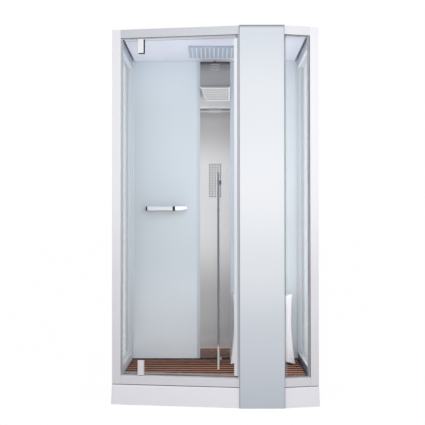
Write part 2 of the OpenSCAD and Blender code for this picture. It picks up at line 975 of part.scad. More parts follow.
module wall_shelf() {
    wall = 4;
    x1 = shelf_x0 + shelf_l;
    y0 = panel_y - shelf_d;
    end_cut = 60;
    end_rise = 10;
    color(chrome)
        difference() {
            box([shelf_x0, y0, shelf_z], [x1, panel_y, shelf_z + shelf_h]);
            box([shelf_x0 + wall, y0 + wall, shelf_z + end_rise + wall],
                [x1 - wall, panel_y - wall, shelf_z + shelf_h + cut]);
            translate([x1, y0 - cut, shelf_z])
                rotate([-90, 0, 0])
                    linear_extrude(shelf_d + 2 * cut)
                        polygon([
                            for (t = [0 : 0.1 : 1]) [end_cut * (t - 1), -end_rise * t * t],
                            [cut, -end_rise], [cut, cut], [-end_cut, cut]
                        ]);
        }
}

mixer_reach = 45;
mixer_y = panel_y - mixer_reach;
inlet_l = 20;
tail_end = rear_rail_back + 3;
knob_l = 38;
spindle_r = 8;
spindle_l = 12;

module mixer_body() {
    rose_r = 28;
    rose_t = 8;
    x0 = mixer_x - mixer_l / 2;
    x1 = mixer_x + mixer_l / 2;
    color(chrome) {
        rod([x0, mixer_y, mixer_z], [x1, mixer_y, mixer_z], mixer_r);
        rod([x0 - spindle_l, mixer_y, mixer_z], [x1 + spindle_l, mixer_y, mixer_z], spindle_r);
        for (x = tail_xs) {
            rod([x, mixer_y, mixer_z], [x, tail_end - inlet_l, mixer_z], inlet_r - 1);
            rod([x, tail_end - inlet_l, mixer_z], [x, tail_end, mixer_z], inlet_r);
            rod([x, panel_y - rose_t, mixer_z], [x, panel_y, mixer_z], rose_r);
        }
    }
}

// A knob on the mixer's end; side is -1 on the left and 1 on the right
module mixer_knob(side) {
    gap = 1;
    fit = 0.08;
    wing = 9;
    x = mixer_x + side * (mixer_l / 2 + gap);
    color(chrome)
        difference() {
            union() {
                rod([x, mixer_y, mixer_z], [x + side * knob_l, mixer_y, mixer_z], mixer_r);
                translate([x + side * knob_l / 2, mixer_y, mixer_z + mixer_r])
                    cube([knob_l * 0.6, wing, wing], center = true);
            }
            rod([x - side * cut, mixer_y, mixer_z],
                [x + side * spindle_l, mixer_y, mixer_z], spindle_r + fit);
        }
}

module temperature_knob() {
    mixer_knob(1);
}

module flow_knob() {
    mixer_knob(-1);
}

rain_y0 = face_y + rain_y;
rain_cx = -3;
rain_t = 12;
ceiling_z = header_z + 4;
ceiling_t = 5;

// The copper pipes behind the rear wall: mixer to jets, cascade and rain head
module supply_pipes() {
    stub = 2.5;
    low = jet_groups[0];
    mid = jet_groups[1];
    top = jet_groups[2];
    low_half = (low[1] - 1) / 2 * low[3] + mat_margin - stub;
    mid_half = (mid[1] - 1) / 2 * mid[3] + mat_margin - stub;
    top_half = (top[1] - 1) / 2 * top[3] + mat_margin - stub;
    rain_feed_y = rain_y0 + rain_d / 2;
    drop = 60;
    color(brass) {
        pipe_run([
            [mixer_x, riser_y, mixer_z - inlet_r - 0.1], [mixer_x, riser_y, mixer_z - drop],
            [steel_x, riser_y, mixer_z - drop], [steel_x, riser_y, low[4] - low_half]
        ], pipe_r);
        rod([steel_x, riser_y, low[4] + low_half], [steel_x, riser_y, mid[4] - mid_half], pipe_r);
        rod([steel_x, riser_y, mid[4] + mid_half], [steel_x, riser_y, top[4] - top_half], pipe_r);
        rod([steel_x, panel_y, inlet_z], [steel_x, riser_y, inlet_z], pipe_r - 3.2);
        pipe_run([
            [steel_x, riser_y, top[4] + top_half], [steel_x, riser_y, feed_z],
            [steel_x, rain_feed_y, feed_z], [steel_x, rain_feed_y, ceiling_z]
        ], pipe_r);
    }
}

// ---------------------------------------------------------------- roof

hanger_r = 10;
hanger_inset = 120;
hanger_x = inner_x - hanger_inset;
hanger_y0 = face_y + left_setback + hanger_inset;
hanger_y1 = panel_y - hanger_inset / 2;
hanger_xy = [[-hanger_x, hanger_y0], [hanger_x, hanger_y0], [-hanger_x, hanger_y1], [hanger_x, hanger_y1]];
roof_z = cabin_h - 10;
roof_t = 4;

module roof_pan() {
    color(acrylic) {
        prism(room_plan(rear_rail_y), roof_z, roof_z + roof_t);
        for (p = hanger_xy)
            translate([p.x, p.y, ceiling_z + ceiling_t])
                cylinder(r = hanger_r, h = roof_z - ceiling_z - ceiling_t + 1);
    }
}

module ceiling_panel() {
    shadow_gap = 15;
    color(acrylic)
        difference() {
            prism(inset(room_plan(panel_y + shadow_gap - 1), shadow_gap), ceiling_z, ceiling_z + ceiling_t);
            translate([steel_x, rain_y0 + rain_d / 2, ceiling_z - cut])
                cylinder(r = pipe_r + 1, h = ceiling_t + 2 * cut);
        }
}

module rain_head() {
    columns = 11;
    rows = 12;
    margin = 20;
    nipple_r = 3.5;
    nipple_h = 2;
    spray_r = 1;
    dx = (rain_w - 2 * margin) / (columns - 1);
    dy = (rain_d - 2 * margin) / (rows - 1);
    plate = 3;
    x0 = rain_cx - rain_w / 2;
    z0 = ceiling_z - rain_t;
    color(satin)
        difference() {
            union() {
                box([x0, rain_y0, z0], [x0 + rain_w, rain_y0 + rain_d, ceiling_z]);
                for (i = [0 : columns - 1], j = [0 : rows - 1])
                    translate([x0 + margin + i * dx, rain_y0 + margin + j * dy, z0 - nipple_h])
                        cylinder(r = nipple_r, h = nipple_h + 1, $fn = 16);
            }
            box([x0 + plate, rain_y0 + plate, z0 + plate],
                [x0 + rain_w - plate, rain_y0 + rain_d - plate, ceiling_z - plate]);
            for (i = [0 : columns - 1], j = [0 : rows - 1])
                translate([x0 + margin + i * dx, rain_y0 + margin + j * dy, z0 - nipple_h - cut])
                    cylinder(r = spray_r, h = nipple_h + plate + 2 * cut, $fn = 16);
            translate([steel_x, rain_y0 + rain_d / 2, ceiling_z - 2 * plate])
                cylinder(r = pipe_r - 2, h = 3 * plate);
        }
}

// ---------------------------------------------------------------- door

door_v = 20;
hinge_seal = 4.5;
door_gap = 1.5;
column_u = norm(left_at(column_x0, door_v - closing_d / 2) - left_point(0, door_v - closing_d / 2));
strike_w = 9.5;
door_u0 = post_w + door_gap + hinge_seal;
door_u1 = column_u - strike_w;
door_top = header_z - door_top_gap;
closing_u0 = door_u1 - closing_w;
glass_u1 = door_u1 - closing_w / 2;
glass_v0 = door_v - glass_t / 2;
glass_v1 = door_v + glass_t / 2;
clamp_u0 = pivot_u - clamp_w / 2;
clamp_u1 = pivot_u + clamp_w / 2;
clamp_gap = 2.5;
clamp_bottom = sill_top + clamp_gap;
clamp_top = header_z - clamp_gap;
screw_r = 3;
screw_gap = 0.1;
screw_v0 = glass_v0 - clamp_cheek + 3;
screw_v1 = glass_v1 + clamp_cheek;
screw_pitch = 18;
screw_inset = 25;
screw_zs = [clamp_bottom + clamp_h - screw_inset, clamp_top - clamp_h + screw_inset];
screw_spots = [for (u = [-0.5, 0.5], z = screw_zs) [pivot_u + u * screw_pitch, z]];
standoff_zs = [bar_z0 + standoff_inset, bar_z1 - standoff_inset];
bar_u = door_u1 - bar_inset;
bar_v = glass_v0 - bar_reach;
stud_hole_r = 6;

module door_glass() {
    color(clear)
        on_left_wall()
            difference() {
                box([door_u0, glass_v0, door_bottom], [glass_u1, glass_v1, door_top]);
                for (p = screw_spots)
                    rod([p[0], glass_v0 - cut, p[1]], [p[0], glass_v1 + cut, p[1]], screw_r + 2);
                for (z = standoff_zs)
                    rod([bar_u, glass_v0 - cut, z], [bar_u, glass_v1 + cut, z], stud_hole_r);
            }
}

// A clamp around the glass edge, with its pivot pin
module pivot_clamp(z0, z1, pin_z0, pin_z1) {
    difference() {
        union() {
            box([clamp_u0, glass_v0 - clamp_cheek, z0], [clamp_u1, glass_v1 + clamp_cheek, z1]);
            translate([pivot_u, door_v, pin_z0])
                cylinder(r = pin_r, h = pin_z1 - pin_z0);
        }
        box([clamp_u0 - cut, glass_v0, door_bottom], [clamp_u1 + cut, glass_v1, door_top]);
        for (p = screw_spots)
            rod([p[0], screw_v0, p[1]], [p[0], screw_v1 + cut, p[1]], screw_r + screw_gap);
    }
}

pin_l = 16;

module pivot_clamps() {
    overlap = 4;
    color(white)
        on_left_wall() {
            pivot_clamp(clamp_bottom, clamp_bottom + clamp_h, sill_top - pin_l, clamp_bottom + overlap);
            pivot_clamp(clamp_top - clamp_h, clamp_top, clamp_top - overlap, header_z + pin_l);
        }
}

// A flanged bush with a blind bore; up is 1 in the sill and -1 in the header
module pivot_bush(z, up) {
    bore = pin_l + 0.2;
    translate([pivot_u, door_v, z])
        mirror([0, 0, up > 0 ? 0 : 1])
            difference() {
                union() {
                    cylinder(r = bush_flange_r, h = bush_flange_t);
                    translate([0, 0, -bush_depth])
                        cylinder(r = bush_r, h = bush_depth);
                }
                translate([0, 0, -bore])
                    cylinder(r = pin_r + pin_clearance, h = bore + bush_flange_t + cut);
            }
}

module pivot_bushes() {
    color(brass)
        on_left_wall() {
            pivot_bush(sill_top, 1);
            pivot_bush(header_z, -1);
        }
}

module clamp_screws() {
    color(steel)
        on_left_wall()
            for (p = screw_spots)
                rod([p[0], screw_v0, p[1]], [p[0], screw_v1, p[1]], screw_r);
}

module door_bar() {
    sleeve_r = bar_r + 1.2;
    sleeve_z = 1121;
    sleeve_h = 14;
    rose_r = 11;
    rose_t = 4;
    color(chrome)
        on_left_wall() {
            rod([bar_u, bar_v, bar_z0], [bar_u, bar_v, bar_z1], bar_r);
            rod([bar_u, bar_v, sleeve_z - sleeve_h / 2], [bar_u, bar_v, sleeve_z + sleeve_h / 2], sleeve_r);
            for (z = standoff_zs) {
                rod([bar_u, bar_v, z], [bar_u, glass_v0, z], bar_r - 1);
                rod([bar_u, glass_v0 - rose_t, z], [bar_u, glass_v0, z], rose_r);
                rod([bar_u, glass_v0 - cut, z], [bar_u, glass_v1 + cut, z], bar_r - 2);
                rod([bar_u, glass_v1, z], [bar_u, glass_v1 + rose_t, z], rose_r);
            }
        }
}

profile_z0 = sill_top + 14;
profile_z1 = door_top - 5;

module closing_profile() {
    color(white)
        on_left_wall()
            difference() {
                box([closing_u0, door_v - closing_d / 2, profile_z0], [door_u1, door_v + closing_d / 2, profile_z1]);
                box([closing_u0 - cut, glass_v0, door_bottom], [glass_u1, glass_v1, door_top]);
            }
}

// A lip seal of U section on an edge of the door glass, seen as a box less the glass
module door_seals() {
    side = 2;
    reach = 8;
    gap = 1;
    v0 = glass_v0 - side;
    v1 = glass_v1 + side;
    edge_u = door_u0 - hinge_seal;
    seal_z0 = sill_top + 2;
    seal_top = door_bottom + reach;
    color(rubber_grey)
        on_left_wall()
            difference() {
                union() {
                    box([edge_u, v0, seal_top + gap], [door_u0 + reach, v1, door_top]);
                    box([edge_u, v0, seal_z0], [clamp_u0 - gap, v1, seal_top]);
                    box([clamp_u1 + gap, v0, seal_z0], [closing_u0 - gap, v1, seal_top]);
                }
                box([door_u0, glass_v0, door_bottom], [glass_u1, glass_v1, door_top + cut]);
            }
}

// ---------------------------------------------------------------- stool

stool_wall_gap = 16;
stool_lift_gap = 0.2;
stool_side_gap = 31;
stool_x = inner_x - stool_side_gap - stool_foot;
stool_pos = [stool_x, panel_y - stool_wall_gap - stool_foot_d, deck_top + stool_lift_gap];
stool_dip = 24;
stool_arch = 30;
stool_hollow = 0.07;
stool_side_n = 8;
stool_rings = 8;
stool_seat_rings = 3;
waist_t = 0.62;

// Half width of the stool at the height t, from 0 at its feet to 1 at its seat
function stool_half(t) =
    t < waist_t
    ? stool_waist + (stool_foot - stool_waist) * pow((waist_t - t) / waist_t, 2)
    : stool_waist + (stool_seat - stool_waist) * pow((t - waist_t) / (1 - waist_t), 2);
// One ring of a four-cornered outline with sides drawn in, as [x, y] with corners at 1
function stool_ring() = [
    for (side = [0 : 3], i = [0 : stool_side_n - 1])
        let (s = 2 * i / stool_side_n - 1, d = 1 - stool_hollow * (1 - s * s))
        side == 0 ? [s, -d] : side == 1 ? [d, s] : side == 2 ? [-s, d] : [-d, -s]
];
// A point of the stool's skin: ring point p at height t, scaled by k about the middle, drawn in by w
function stool_point(p, t, k, w) =
    let (half = stool_half(t), depth = stool_foot_d * half / stool_foot)
    let (x = p.x * (half - w) * k, y = p.y * (depth - w) * k, q = x / half)
    [x, y, (1 - t) * stool_arch * (1 - q * q) + t * (stool_h - w - stool_dip * (1 - q * q))];
// The rings from the feet up the wall and across the seat to its middle
function stool_levels(w) = [
    for (i = [0 : stool_rings]) [i / stool_rings, 1, w],
    for (i = [1 : stool_seat_rings]) [1, 1 - i / (stool_seat_rings + 1), w]
];

module stool() {
    ring = stool_ring();
    n = len(ring);
    outer = stool_levels(0);
    inner = stool_levels(stool_wall);
    levels = concat(outer, [for (i = [len(inner) - 1 : -1 : 0]) inner[i]]);
    m = len(outer);
    skin = [for (v = levels, p = ring) stool_point(p, v[0], v[1], v[2])];
    centres = [stool_point([0, 0], 1, 0, 0), stool_point([0, 0], 1, 0, stool_wall)];
    bands = [
        for (i = [0 : len(levels) - 2], j = [0 : n - 1])
            if (i != m - 1)
                let (a = i * n + j, b = i * n + (j + 1) % n)
                each [[a, b + n, b], [a, a + n, b + n]]
    ];
    foot = [
        for (j = [0 : n - 1])
            let (a = (len(levels) - 1) * n + j, b = (len(levels) - 1) * n + (j + 1) % n)
            each [[a, (j + 1) % n, b], [a, j, (j + 1) % n]]
    ];
    seat = [for (j = [0 : n - 1]) [(m - 1) * n + j, len(skin), (m - 1) * n + (j + 1) % n]];
    under = [for (j = [0 : n - 1]) [m * n + j, m * n + (j + 1) % n, len(skin) + 1]];
    color(acrylic)
        translate(stool_pos)
            polyhedron(points = concat(skin, centres), faces = concat(bands, foot, seat, under));
}

base_tray();
tray_frame();
levelling_feet();
waste_trap();
waste_grate();
cable_gland();
duckboard_slats();
duckboard_bearers();
front_left_post();
front_right_post();
rear_left_post();
rear_right_post();
front_left_sill();
front_right_sill();
front_left_header();
front_right_header();
left_bottom_rail();
right_bottom_rail();
left_top_rail();
right_top_rail();
rear_bottom_rail();
rear_top_rail();
left_side_glass();
right_side_glass();
front_fixed_glass();
glass_gaskets();
column_fascia();
column_edge_trims();
column_housing();
strike_profile();
steam_generator();
steam_outlet();
control_unit();
keypad_bezel();
power_button();
steam_button();
back_panel_left();
back_panel_right();
panel_trims();
shower_panel();
jet_nozzles();
jet_manifolds();
cascade_body();
cascade_plate();
wall_shelf();
mixer_body();
temperature_knob();
flow_knob();
supply_pipes();
roof_pan();
ceiling_panel();
rain_head();
door_glass();
pivot_clamps();
pivot_bushes();
clamp_screws();
door_bar();
closing_profile();
door_seals();
stool();
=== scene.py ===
# %% [markdown]
# # A steam shower cabin, piece by piece
# The cabin's hard frame comes from the CAD model, so every number here is in the same place as there. The
# first cell loads the imported model. The dressed cabin has to stay inside it.

# %% Load the frame
import json
import math

import bmesh
import bpy
import numpy as np
from mathutils import Matrix, Vector


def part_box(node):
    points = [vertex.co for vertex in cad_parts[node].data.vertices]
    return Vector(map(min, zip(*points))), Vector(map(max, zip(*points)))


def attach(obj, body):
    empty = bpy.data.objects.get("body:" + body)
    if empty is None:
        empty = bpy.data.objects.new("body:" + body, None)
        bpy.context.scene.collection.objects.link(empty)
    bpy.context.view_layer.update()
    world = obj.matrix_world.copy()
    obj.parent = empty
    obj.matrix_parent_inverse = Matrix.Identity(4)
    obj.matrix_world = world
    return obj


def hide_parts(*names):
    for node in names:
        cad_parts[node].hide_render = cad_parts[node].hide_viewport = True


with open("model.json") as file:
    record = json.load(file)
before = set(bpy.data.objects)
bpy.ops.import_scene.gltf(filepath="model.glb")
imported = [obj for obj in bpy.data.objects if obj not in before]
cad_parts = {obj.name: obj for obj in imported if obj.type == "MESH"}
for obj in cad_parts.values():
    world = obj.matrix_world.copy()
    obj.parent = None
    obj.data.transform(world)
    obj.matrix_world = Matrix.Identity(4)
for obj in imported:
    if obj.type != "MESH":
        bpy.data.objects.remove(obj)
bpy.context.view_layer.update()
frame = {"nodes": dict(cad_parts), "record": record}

BODIES = frame["record"]["behaviour"]["bodies"]
BODY_OF = {node: body for body, nodes in BODIES.items() for node in nodes}

# %% [markdown]
# ## Sizes from the frame
# Shapes are worked out in millimetres and turned to metres at the end. Where a piece fills its node's box,
# its limits are read from the node, so that the dressed piece can't drift away from the solid under it.

# %% A node's limits
MM = 0.001


def span(node):
    """A node's box as x0, x1, y0, y1, z0, z1 in millimetres, to a thousandth."""
    low, high = (np.round(np.array(corner) / MM, 3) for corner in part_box(node))
    return [float(value) for pair in zip(low, high) for value in pair]


def heights(node):
    """A node's lowest and highest point in metres."""
    return [round(value * MM, 6) for value in span(node)[4:]]


FRAME_FOOT, FRAME_TOP = span("front_left_post")[4:]
print("the posts stand from", FRAME_FOOT, "to", FRAME_TOP, "mm")

# %% [markdown]
# ## The camera
# A product picture is taken from far away with a long lens, so that upright lines stay upright. Here the
# lens is 76 mm on a 36 mm sensor, 5.5 m in front of the cabin and a metre above the floor. The camera's
# three axes are worked out from its pitch, yaw and roll, and go into its matrix as columns.

# %% Make the camera
LENS, SENSOR = 76.0, 36.0
CAMERA_PLACE = (0.00773, -5.5215, 1.0258)
PITCH, YAW, ROLL = np.radians([0.90, -0.22, -0.05])
forward = np.array([math.sin(YAW) * math.cos(PITCH), math.cos(YAW) * math.cos(PITCH), math.sin(PITCH)])
level = np.array([math.cos(YAW), -math.sin(YAW), 0.0])
above = np.cross(level, forward)
to_right = math.cos(ROLL) * level + math.sin(ROLL) * above
to_top = math.cos(ROLL) * above - math.sin(ROLL) * level

camera = bpy.data.objects.new("camera", bpy.data.cameras.new("camera"))
bpy.context.scene.collection.objects.link(camera)
camera.data.lens, camera.data.sensor_width = LENS, SENSOR
camera.data.clip_end = 3000.0
turn = Matrix([Vector(axis) for axis in (to_right, to_top, -forward)]).transposed()
camera.matrix_world = Matrix.Translation(CAMERA_PLACE) @ turn.to_4x4()
bpy.context.scene.camera = camera
print("camera looks along", forward.round(4))

# %% [markdown]
# ## Colours and nodes
# Colours are written as sRGB hex values, as a paint chart gives them. A shader wants linear light, so one
# function turns them. Another adds a node: numbers and links go to its sockets by name, and its settings by
# keyword.

# %% Colours to linear light, and one way to add a node
def linear(code):
    """Each channel c of #rrggbb becomes c / 12.92 up to 0.04045, and ((c + 0.055) / 1.055) ** 2.4 above."""
    c = np.array([int(code[i:i + 2], 16) for i in (1, 3, 5)]) / 255
    return tuple(np.where(c <= 0.04045, c / 12.92, ((c + 0.055) / 1.055) ** 2.4)) + (1.0,)


def add(tree, kind, sockets=None, **settings):
    """Adds a node of a kind. A socket takes a number, a colour or another node's output."""
    made = tree.nodes.new("ShaderNode" + kind)
    for name, value in settings.items():
        setattr(made, name, value)
    for key, value in (sockets or {}).items():
        if isinstance(value, bpy.types.NodeSocket):
            tree.links.new(value, made.inputs[key])
        elif isinstance(value, str):
            made.inputs[key].default_value = linear(value)
        else:
            made.inputs[key].default_value = value
    return made


print("white paint in linear light:", np.round(linear("#f2f3f7"), 3))

# %% [markdown]
# ## One way to make a finish
# Each finish is one Principled shader. It is made with its name, its colour and its roughness. Most finishes
# also have a grain, which is a fine noise that moves the surface's normal, and some have tones: large, still
# surfaces pick up a slow change of light from the room, and here that is a ramp along one axis.


def finish(name, slot, colour, rough, **sockets):
    """A material with one Principled shader. Its other sockets are given by their names."""
    material = bpy.data.materials.new(name)
    material.use_nodes = True
    tree = material.node_tree
    tree.nodes.clear()
    given = {"Base Color": colour, "Roughness": rough}
    given.update({key.replace("_", " "): value for key, value in sockets.items()})
    surface = add(tree, "BsdfPrincipled", given)
    out = add(tree, "OutputMaterial", {"Surface": surface.outputs[0]})
    return material, tree, surface, out


def with_grain(tree, surface, scale, strength, distance, roughness=None, stretch=(1, 1, 1), detail=3.0):
    """Noise on Object coordinates, `scale` waves to the metre, makes a bump. Where `roughness` is given, the
    same noise moves the roughness from its first number to its second."""
    place = add(tree, "TexCoord")
    laid = add(tree, "Mapping", {"Vector": place.outputs["Object"], "Scale": stretch})
    noise = add(tree, "TexNoise", {"Vector": laid.outputs[0], "Scale": scale, "Detail": detail})
    bump = add(tree, "Bump", {"Height": noise.outputs[0], "Strength": strength, "Distance": distance})
    tree.links.new(bump.outputs[0], surface.inputs["Normal"])
    if roughness:
        ramp = add(tree, "MapRange", {0: noise.outputs[0], 1: 0.3, 2: 0.7, 3: roughness[0], 4: roughness[1]})
        tree.links.new(ramp.outputs[0], surface.inputs["Roughness"])


def toned(tree, surface, axis, limits, stops):
    """A tone that changes slowly along one axis: stops are (share of the way between the limits, colour)."""
    place = add(tree, "TexCoord")
    parts = add(tree, "SeparateXYZ", {0: place.outputs["Object"]})
    along = parts.outputs["XYZ".index(axis)]
    share = add(tree, "MapRange", {0: along, 1: limits[0], 2: limits[1], 3: 0.0, 4: 1.0})
    ramp = add(tree, "ValToRGB", {0: share.outputs[0]})
    ramp.color_ramp.interpolation = "EASE"
    while len(ramp.color_ramp.elements) < len(stops):
        ramp.color_ramp.elements.new(0.5)
    for element, (where, colour) in zip(ramp.color_ramp.elements, stops):
        element.position, element.color = where, linear(colour)
    tree.links.new(ramp.outputs[0], surface.inputs["Base Color"])


def grained(name, slot, colour, rough, grain=None, tones=None, **sockets):
    """A finish with a grain, given as with_grain takes it, and tones, given as toned takes them."""
    material, tree, surface, _ = finish(name, slot, colour, rough, **sockets)
    if grain:
        with_grain(tree, surface, **grain)
    if tones:
        toned(tree, surface, *tones)
    return material


# %% [markdown]
# ## Finishes: painted metal
# The posts and rails are extruded aluminium with a white powder coat. The powder melts into a skin with a
# faint orange peel, a bump about 2 mm across. It is drawn a little coarser than that, so that it shows at
# all. One paint is given a painted shade that differs on each face of the frame: bright in front, greyer on
# the sills, over the door and on the rear posts, and bluish on the inner faces of the rails. Those faces are
# large and plain, so each has its own painted shade of the same coat. The coat in front is also painted
# darker towards the floor.

# %% Powder coat
POWDER_PEEL = dict(scale=260, strength=0.05, distance=0.0004)
ORANGE_PEEL = dict(POWDER_PEEL, roughness=(0.38, 0.46))
FRAME_HEIGHTS = heights("front_left_post")
UNDER_ROOF = (heights("left_top_rail")[0], 2.126)

# The front coat's tones are painted shade: it is painted darker towards the floor.
powder_coat = grained(
    "powder coated aluminium", "frame_white", "#eff0f5", 0.42, ORANGE_PEEL,
    ("Z", FRAME_HEIGHTS, [(0.0, "#e2dfe2"), (0.25, "#e8e5e9"), (0.55, "#f1f0f3"), (1.0, "#f1f0f3")]))
# A greyer copy of the white coat, painted shade on the sills, the right header and the closing profile, also
# darker towards the floor.
light_shade_coat = grained(
    "powder coated aluminium, sills", "frame_white", "#dfdde1", 0.42, ORANGE_PEEL,
    ("Z", FRAME_HEIGHTS, [(0.0, "#dfdde1"), (0.4, "#e2e1e5"), (1.0, "#e8e8eb")]))
# A darker copy of the white coat, painted shade on the left header and the rear posts.
half_shade_coat = grained(
    "powder coated aluminium, painted half shade", "frame_white", "#cfd0d5", 0.42, ORANGE_PEEL)
# A dark blue-grey copy of the white coat, painted shade on the right bottom rail's inner face.
deep_shade_coat = grained("powder coated aluminium, painted deep shade", "frame_white", "#545b6b", 0.42)
# Painted shade on the top rails' inner faces: bluish greys along their height, darkest in the middle.
roof_shade_coat = grained(
    "powder coated aluminium, painted shade under the roof", "frame_white", "#9aa1b0", 0.42, None,
    ("Z", UNDER_ROOF, [
        (0.0, "#c8cfda"), (0.3, "#b3bacb"), (0.55, "#b3bacc"), (0.8, "#c0c6d7"), (1.0, "#bcc2d3")]))

# %% [markdown]
# ## Finishes: acrylic
# The tray, the ceiling, the stool and the cascade head are cast acrylic: deeper gloss, and no texture of its
# own, only the very slight waviness that vacuum forming leaves. The ceiling's acrylic looks lilac, and a
# painted light makes it lighter towards the side panes, where their light reaches it. The rain head is a matt
# grey.

# %% Cast acrylic
ROOF_WIDTH = [x * MM for x in span("roof_pan")[:2]]
acrylic = grained(
    "cast acrylic", "acrylic", "#f3f1f5", 0.18, dict(scale=14, strength=0.03, distance=0.002, detail=1.0),
    Coat_Weight=0.3, Coat_Roughness=0.05)
# The ceiling's tones along X are painted light: lighter towards the side panes.
lilac_acrylic = grained(
    "cast acrylic ceiling", "acrylic", "#dfdfec", 0.3,
    dict(scale=10, strength=0.03, distance=0.002, detail=1.0),
    ("X", ROOF_WIDTH, [
        (0.0, "#f6f6ff"), (0.12, "#ebebf6"), (0.25, "#dfdfec"), (0.45, "#dbdbe8"), (0.8, "#dfdfec"),
        (1.0, "#eeeef8")]), Coat_Weight=0.1)
FINE_SPECKS = dict(scale=500, strength=0.08, distance=0.0002)
rain_acrylic = grained("matt grey acrylic", "steel", "#9fabba", 0.35, FINE_SPECKS)

# %% [markdown]
# ## Finishes: glass
# Toughened glass is clear but for a trace of iron that tints it green. Its ground and polished edges look
# dark, because light that enters them runs a long way inside the pane. So a pane has two materials: one for
# its faces and one for its edge. Lamps send shadow rays, which glass would block, so those rays meet a
# Transparent shader instead. The rear panels are glass painted on the back, a pale blue under a gloss face,
# and the tall fascia is satin glass.

# %% Clear glass and its edges
COATED_IOR = 1.15


def glass(name, tint, through):
    """Clear glass whose shadow rays pass a Transparent shader of the colour `through`. Its IOR is low because
    the panes carry a coating that sheds water and mirrors almost nothing."""
    material, tree, surface, out = finish(
        name, "clear_glass", tint, 0.0, IOR=COATED_IOR, Transmission_Weight=1.0)
    lets = add(tree, "BsdfTransparent", {"Color": through})
    shadow_ray = add(tree, "LightPath").outputs["Is Shadow Ray"]
    mix = add(tree, "MixShader", {0: shadow_ray, 1: surface.outputs[0], 2: lets.outputs[0]})
    tree.links.new(mix.outputs[0], out.inputs["Surface"])
    return material


clear_glass = glass("toughened clear glass", "#fafbfc", "#f6f8f9")
side_glass = glass("toughened clear glass, side", "#fafdfd", "#f4f8f8")
glass_edge = grained("polished glass edge", "clear_glass", "#8fa3a9", 0.08, FINE_SPECKS, Coat_Weight=0.4)

# %% Painted and satin glass
ROLLER_WAVES = dict(scale=3, strength=0.02, distance=0.004, detail=0.0)
DARK_ARRIS = 2.1695
# The panel's tones along Z are painted light and shade: lightest at the foot and darker in the middle.
painted_glass = grained(
    "back painted glass", "painted_glass", "#d6dfe6", 0.16, ROLLER_WAVES,
    ("Z", heights("back_panel_left"), [
        (0.0, "#e3e8ed"), (0.15, "#d1d7dc"), (0.4, "#c3cad0"), (0.8, "#c4ccd2"), (1.0, "#cfd7de")]),
    Coat_Weight=0.2, Coat_Roughness=0.04)
# A lighter copy of the back paint, a painted light on the right panel.
lit_right_glass = grained(
    "back painted glass, right, in painted light", "painted_glass", "#dde3e8", 0.16, ROLLER_WAVES, Coat_Weight=0.2)
# The fascia's tones along Z are a painted reflection: lighter in the upper middle, darker towards the floor.
satin_glass = grained(
    "satin glass", "satin_glass", "#dfe5ea", 0.45, None,
    ("Z", (0.0, DARK_ARRIS), [
        (0.0, "#c7ccd2"), (0.18, "#d0d4da"), (0.36, "#dfe2e5"), (0.55, "#e6e7e9"), (0.8, "#dcdfe2"),
        (0.993, "#d1d6db"), (1.0, "#5d6066")]), Coat_Weight=0.1, Coat_Roughness=0.3)

# %% [markdown]
# ## Finishes: the steel strip
# Brushed stainless steel has fine scratches that all run one way, here upright, so its noise is drawn out
# along Z. Such a sheet mirrors the cabin only as soft bands, and here those bands are painted reflections in
# its colour: a pale middle, duller towards the ends, a bright and a dark line under the cascade head, and the
# dark gap under the ceiling as painted shade. The bands are few, so they are named tones at heights. The
# lowest 70 mm are polished, and the boards that they mirror are painted into their colour, up to a painted
# bright line. There the roughness drops to almost none.

# %% Brushed steel with a polished foot
# Painted reflections and shade: the mirrored boards, a bright line, the cascade head's lines and the dark gap
# under the ceiling.
REFLECTED_BOARDS, LIT_LINE, SHADOW_GAP, DARK_LINE = "#d2c6be", "#fafafa", "#4a494e", "#7e7e7f"
PALE, LIGHT, MIDDLE, DULL = "#e3e1e1", "#cfcdcd", "#b4b2b1", "#a09e9e"
STEEL_FOOT, STEEL_TOP = heights("shower_panel")
POLISHED_TO, BRUSHED_FROM = 0.223, 0.2245
POLISHED, BRUSHED = 0.02, 0.3
reflection_bands = [
    (STEEL_FOOT, REFLECTED_BOARDS), (0.2235, REFLECTED_BOARDS), (0.225, LIT_LINE), (0.2305, LIT_LINE), (0.232, LIGHT),
    (0.35, MIDDLE), (0.54, MIDDLE), (1.0, PALE), (1.4, PALE), (1.71, MIDDLE), (1.783, DULL), (1.787, LIGHT),
    (1.793, LIGHT), (1.797, DARK_LINE), (1.805, DARK_LINE), (1.809, PALE), (1.817, PALE), (1.825, LIGHT),
    (1.86, LIGHT), (1.92, DULL), (2.02, MIDDLE), (2.05, MIDDLE), (2.09, DULL), (STEEL_TOP, SHADOW_GAP)]
reflection_stops = [((z - STEEL_FOOT) / (STEEL_TOP - STEEL_FOOT), tone) for z, tone in reflection_bands]

brushed_steel, tree, surface, _ = finish(
    "brushed stainless steel", "steel", "#d5d4d2", BRUSHED, Metallic=0.85)
with_grain(tree, surface, 900, 0.002, 0.0001, stretch=(1, 1, 0.02))
# The bands are painted into the base colour by height.
toned(tree, surface, "Z", (STEEL_FOOT, STEEL_TOP), reflection_stops)
place = add(tree, "TexCoord")
height = add(tree, "SeparateXYZ", {0: place.outputs["Object"]}).outputs[2]
blend = add(tree, "MapRange", {0: height, 1: POLISHED_TO, 2: BRUSHED_FROM, 3: POLISHED, 4: BRUSHED})
tree.links.new(blend.outputs[0], surface.inputs["Roughness"])
print("steel bands:", len(reflection_bands))

# %% [markdown]
# ## Finishes: other metals
# The door bar is satin steel, ground along its length, and its colour is painted lighter near the floor, a
# painted reflection. Chrome is smooth, with faint water marks in its roughness. The sub-frame is galvanised:
# its zinc grows in flat crystals a few millimetres across. The bushes and the pipes behind the wall are drawn
# brass, with marks along the tube.

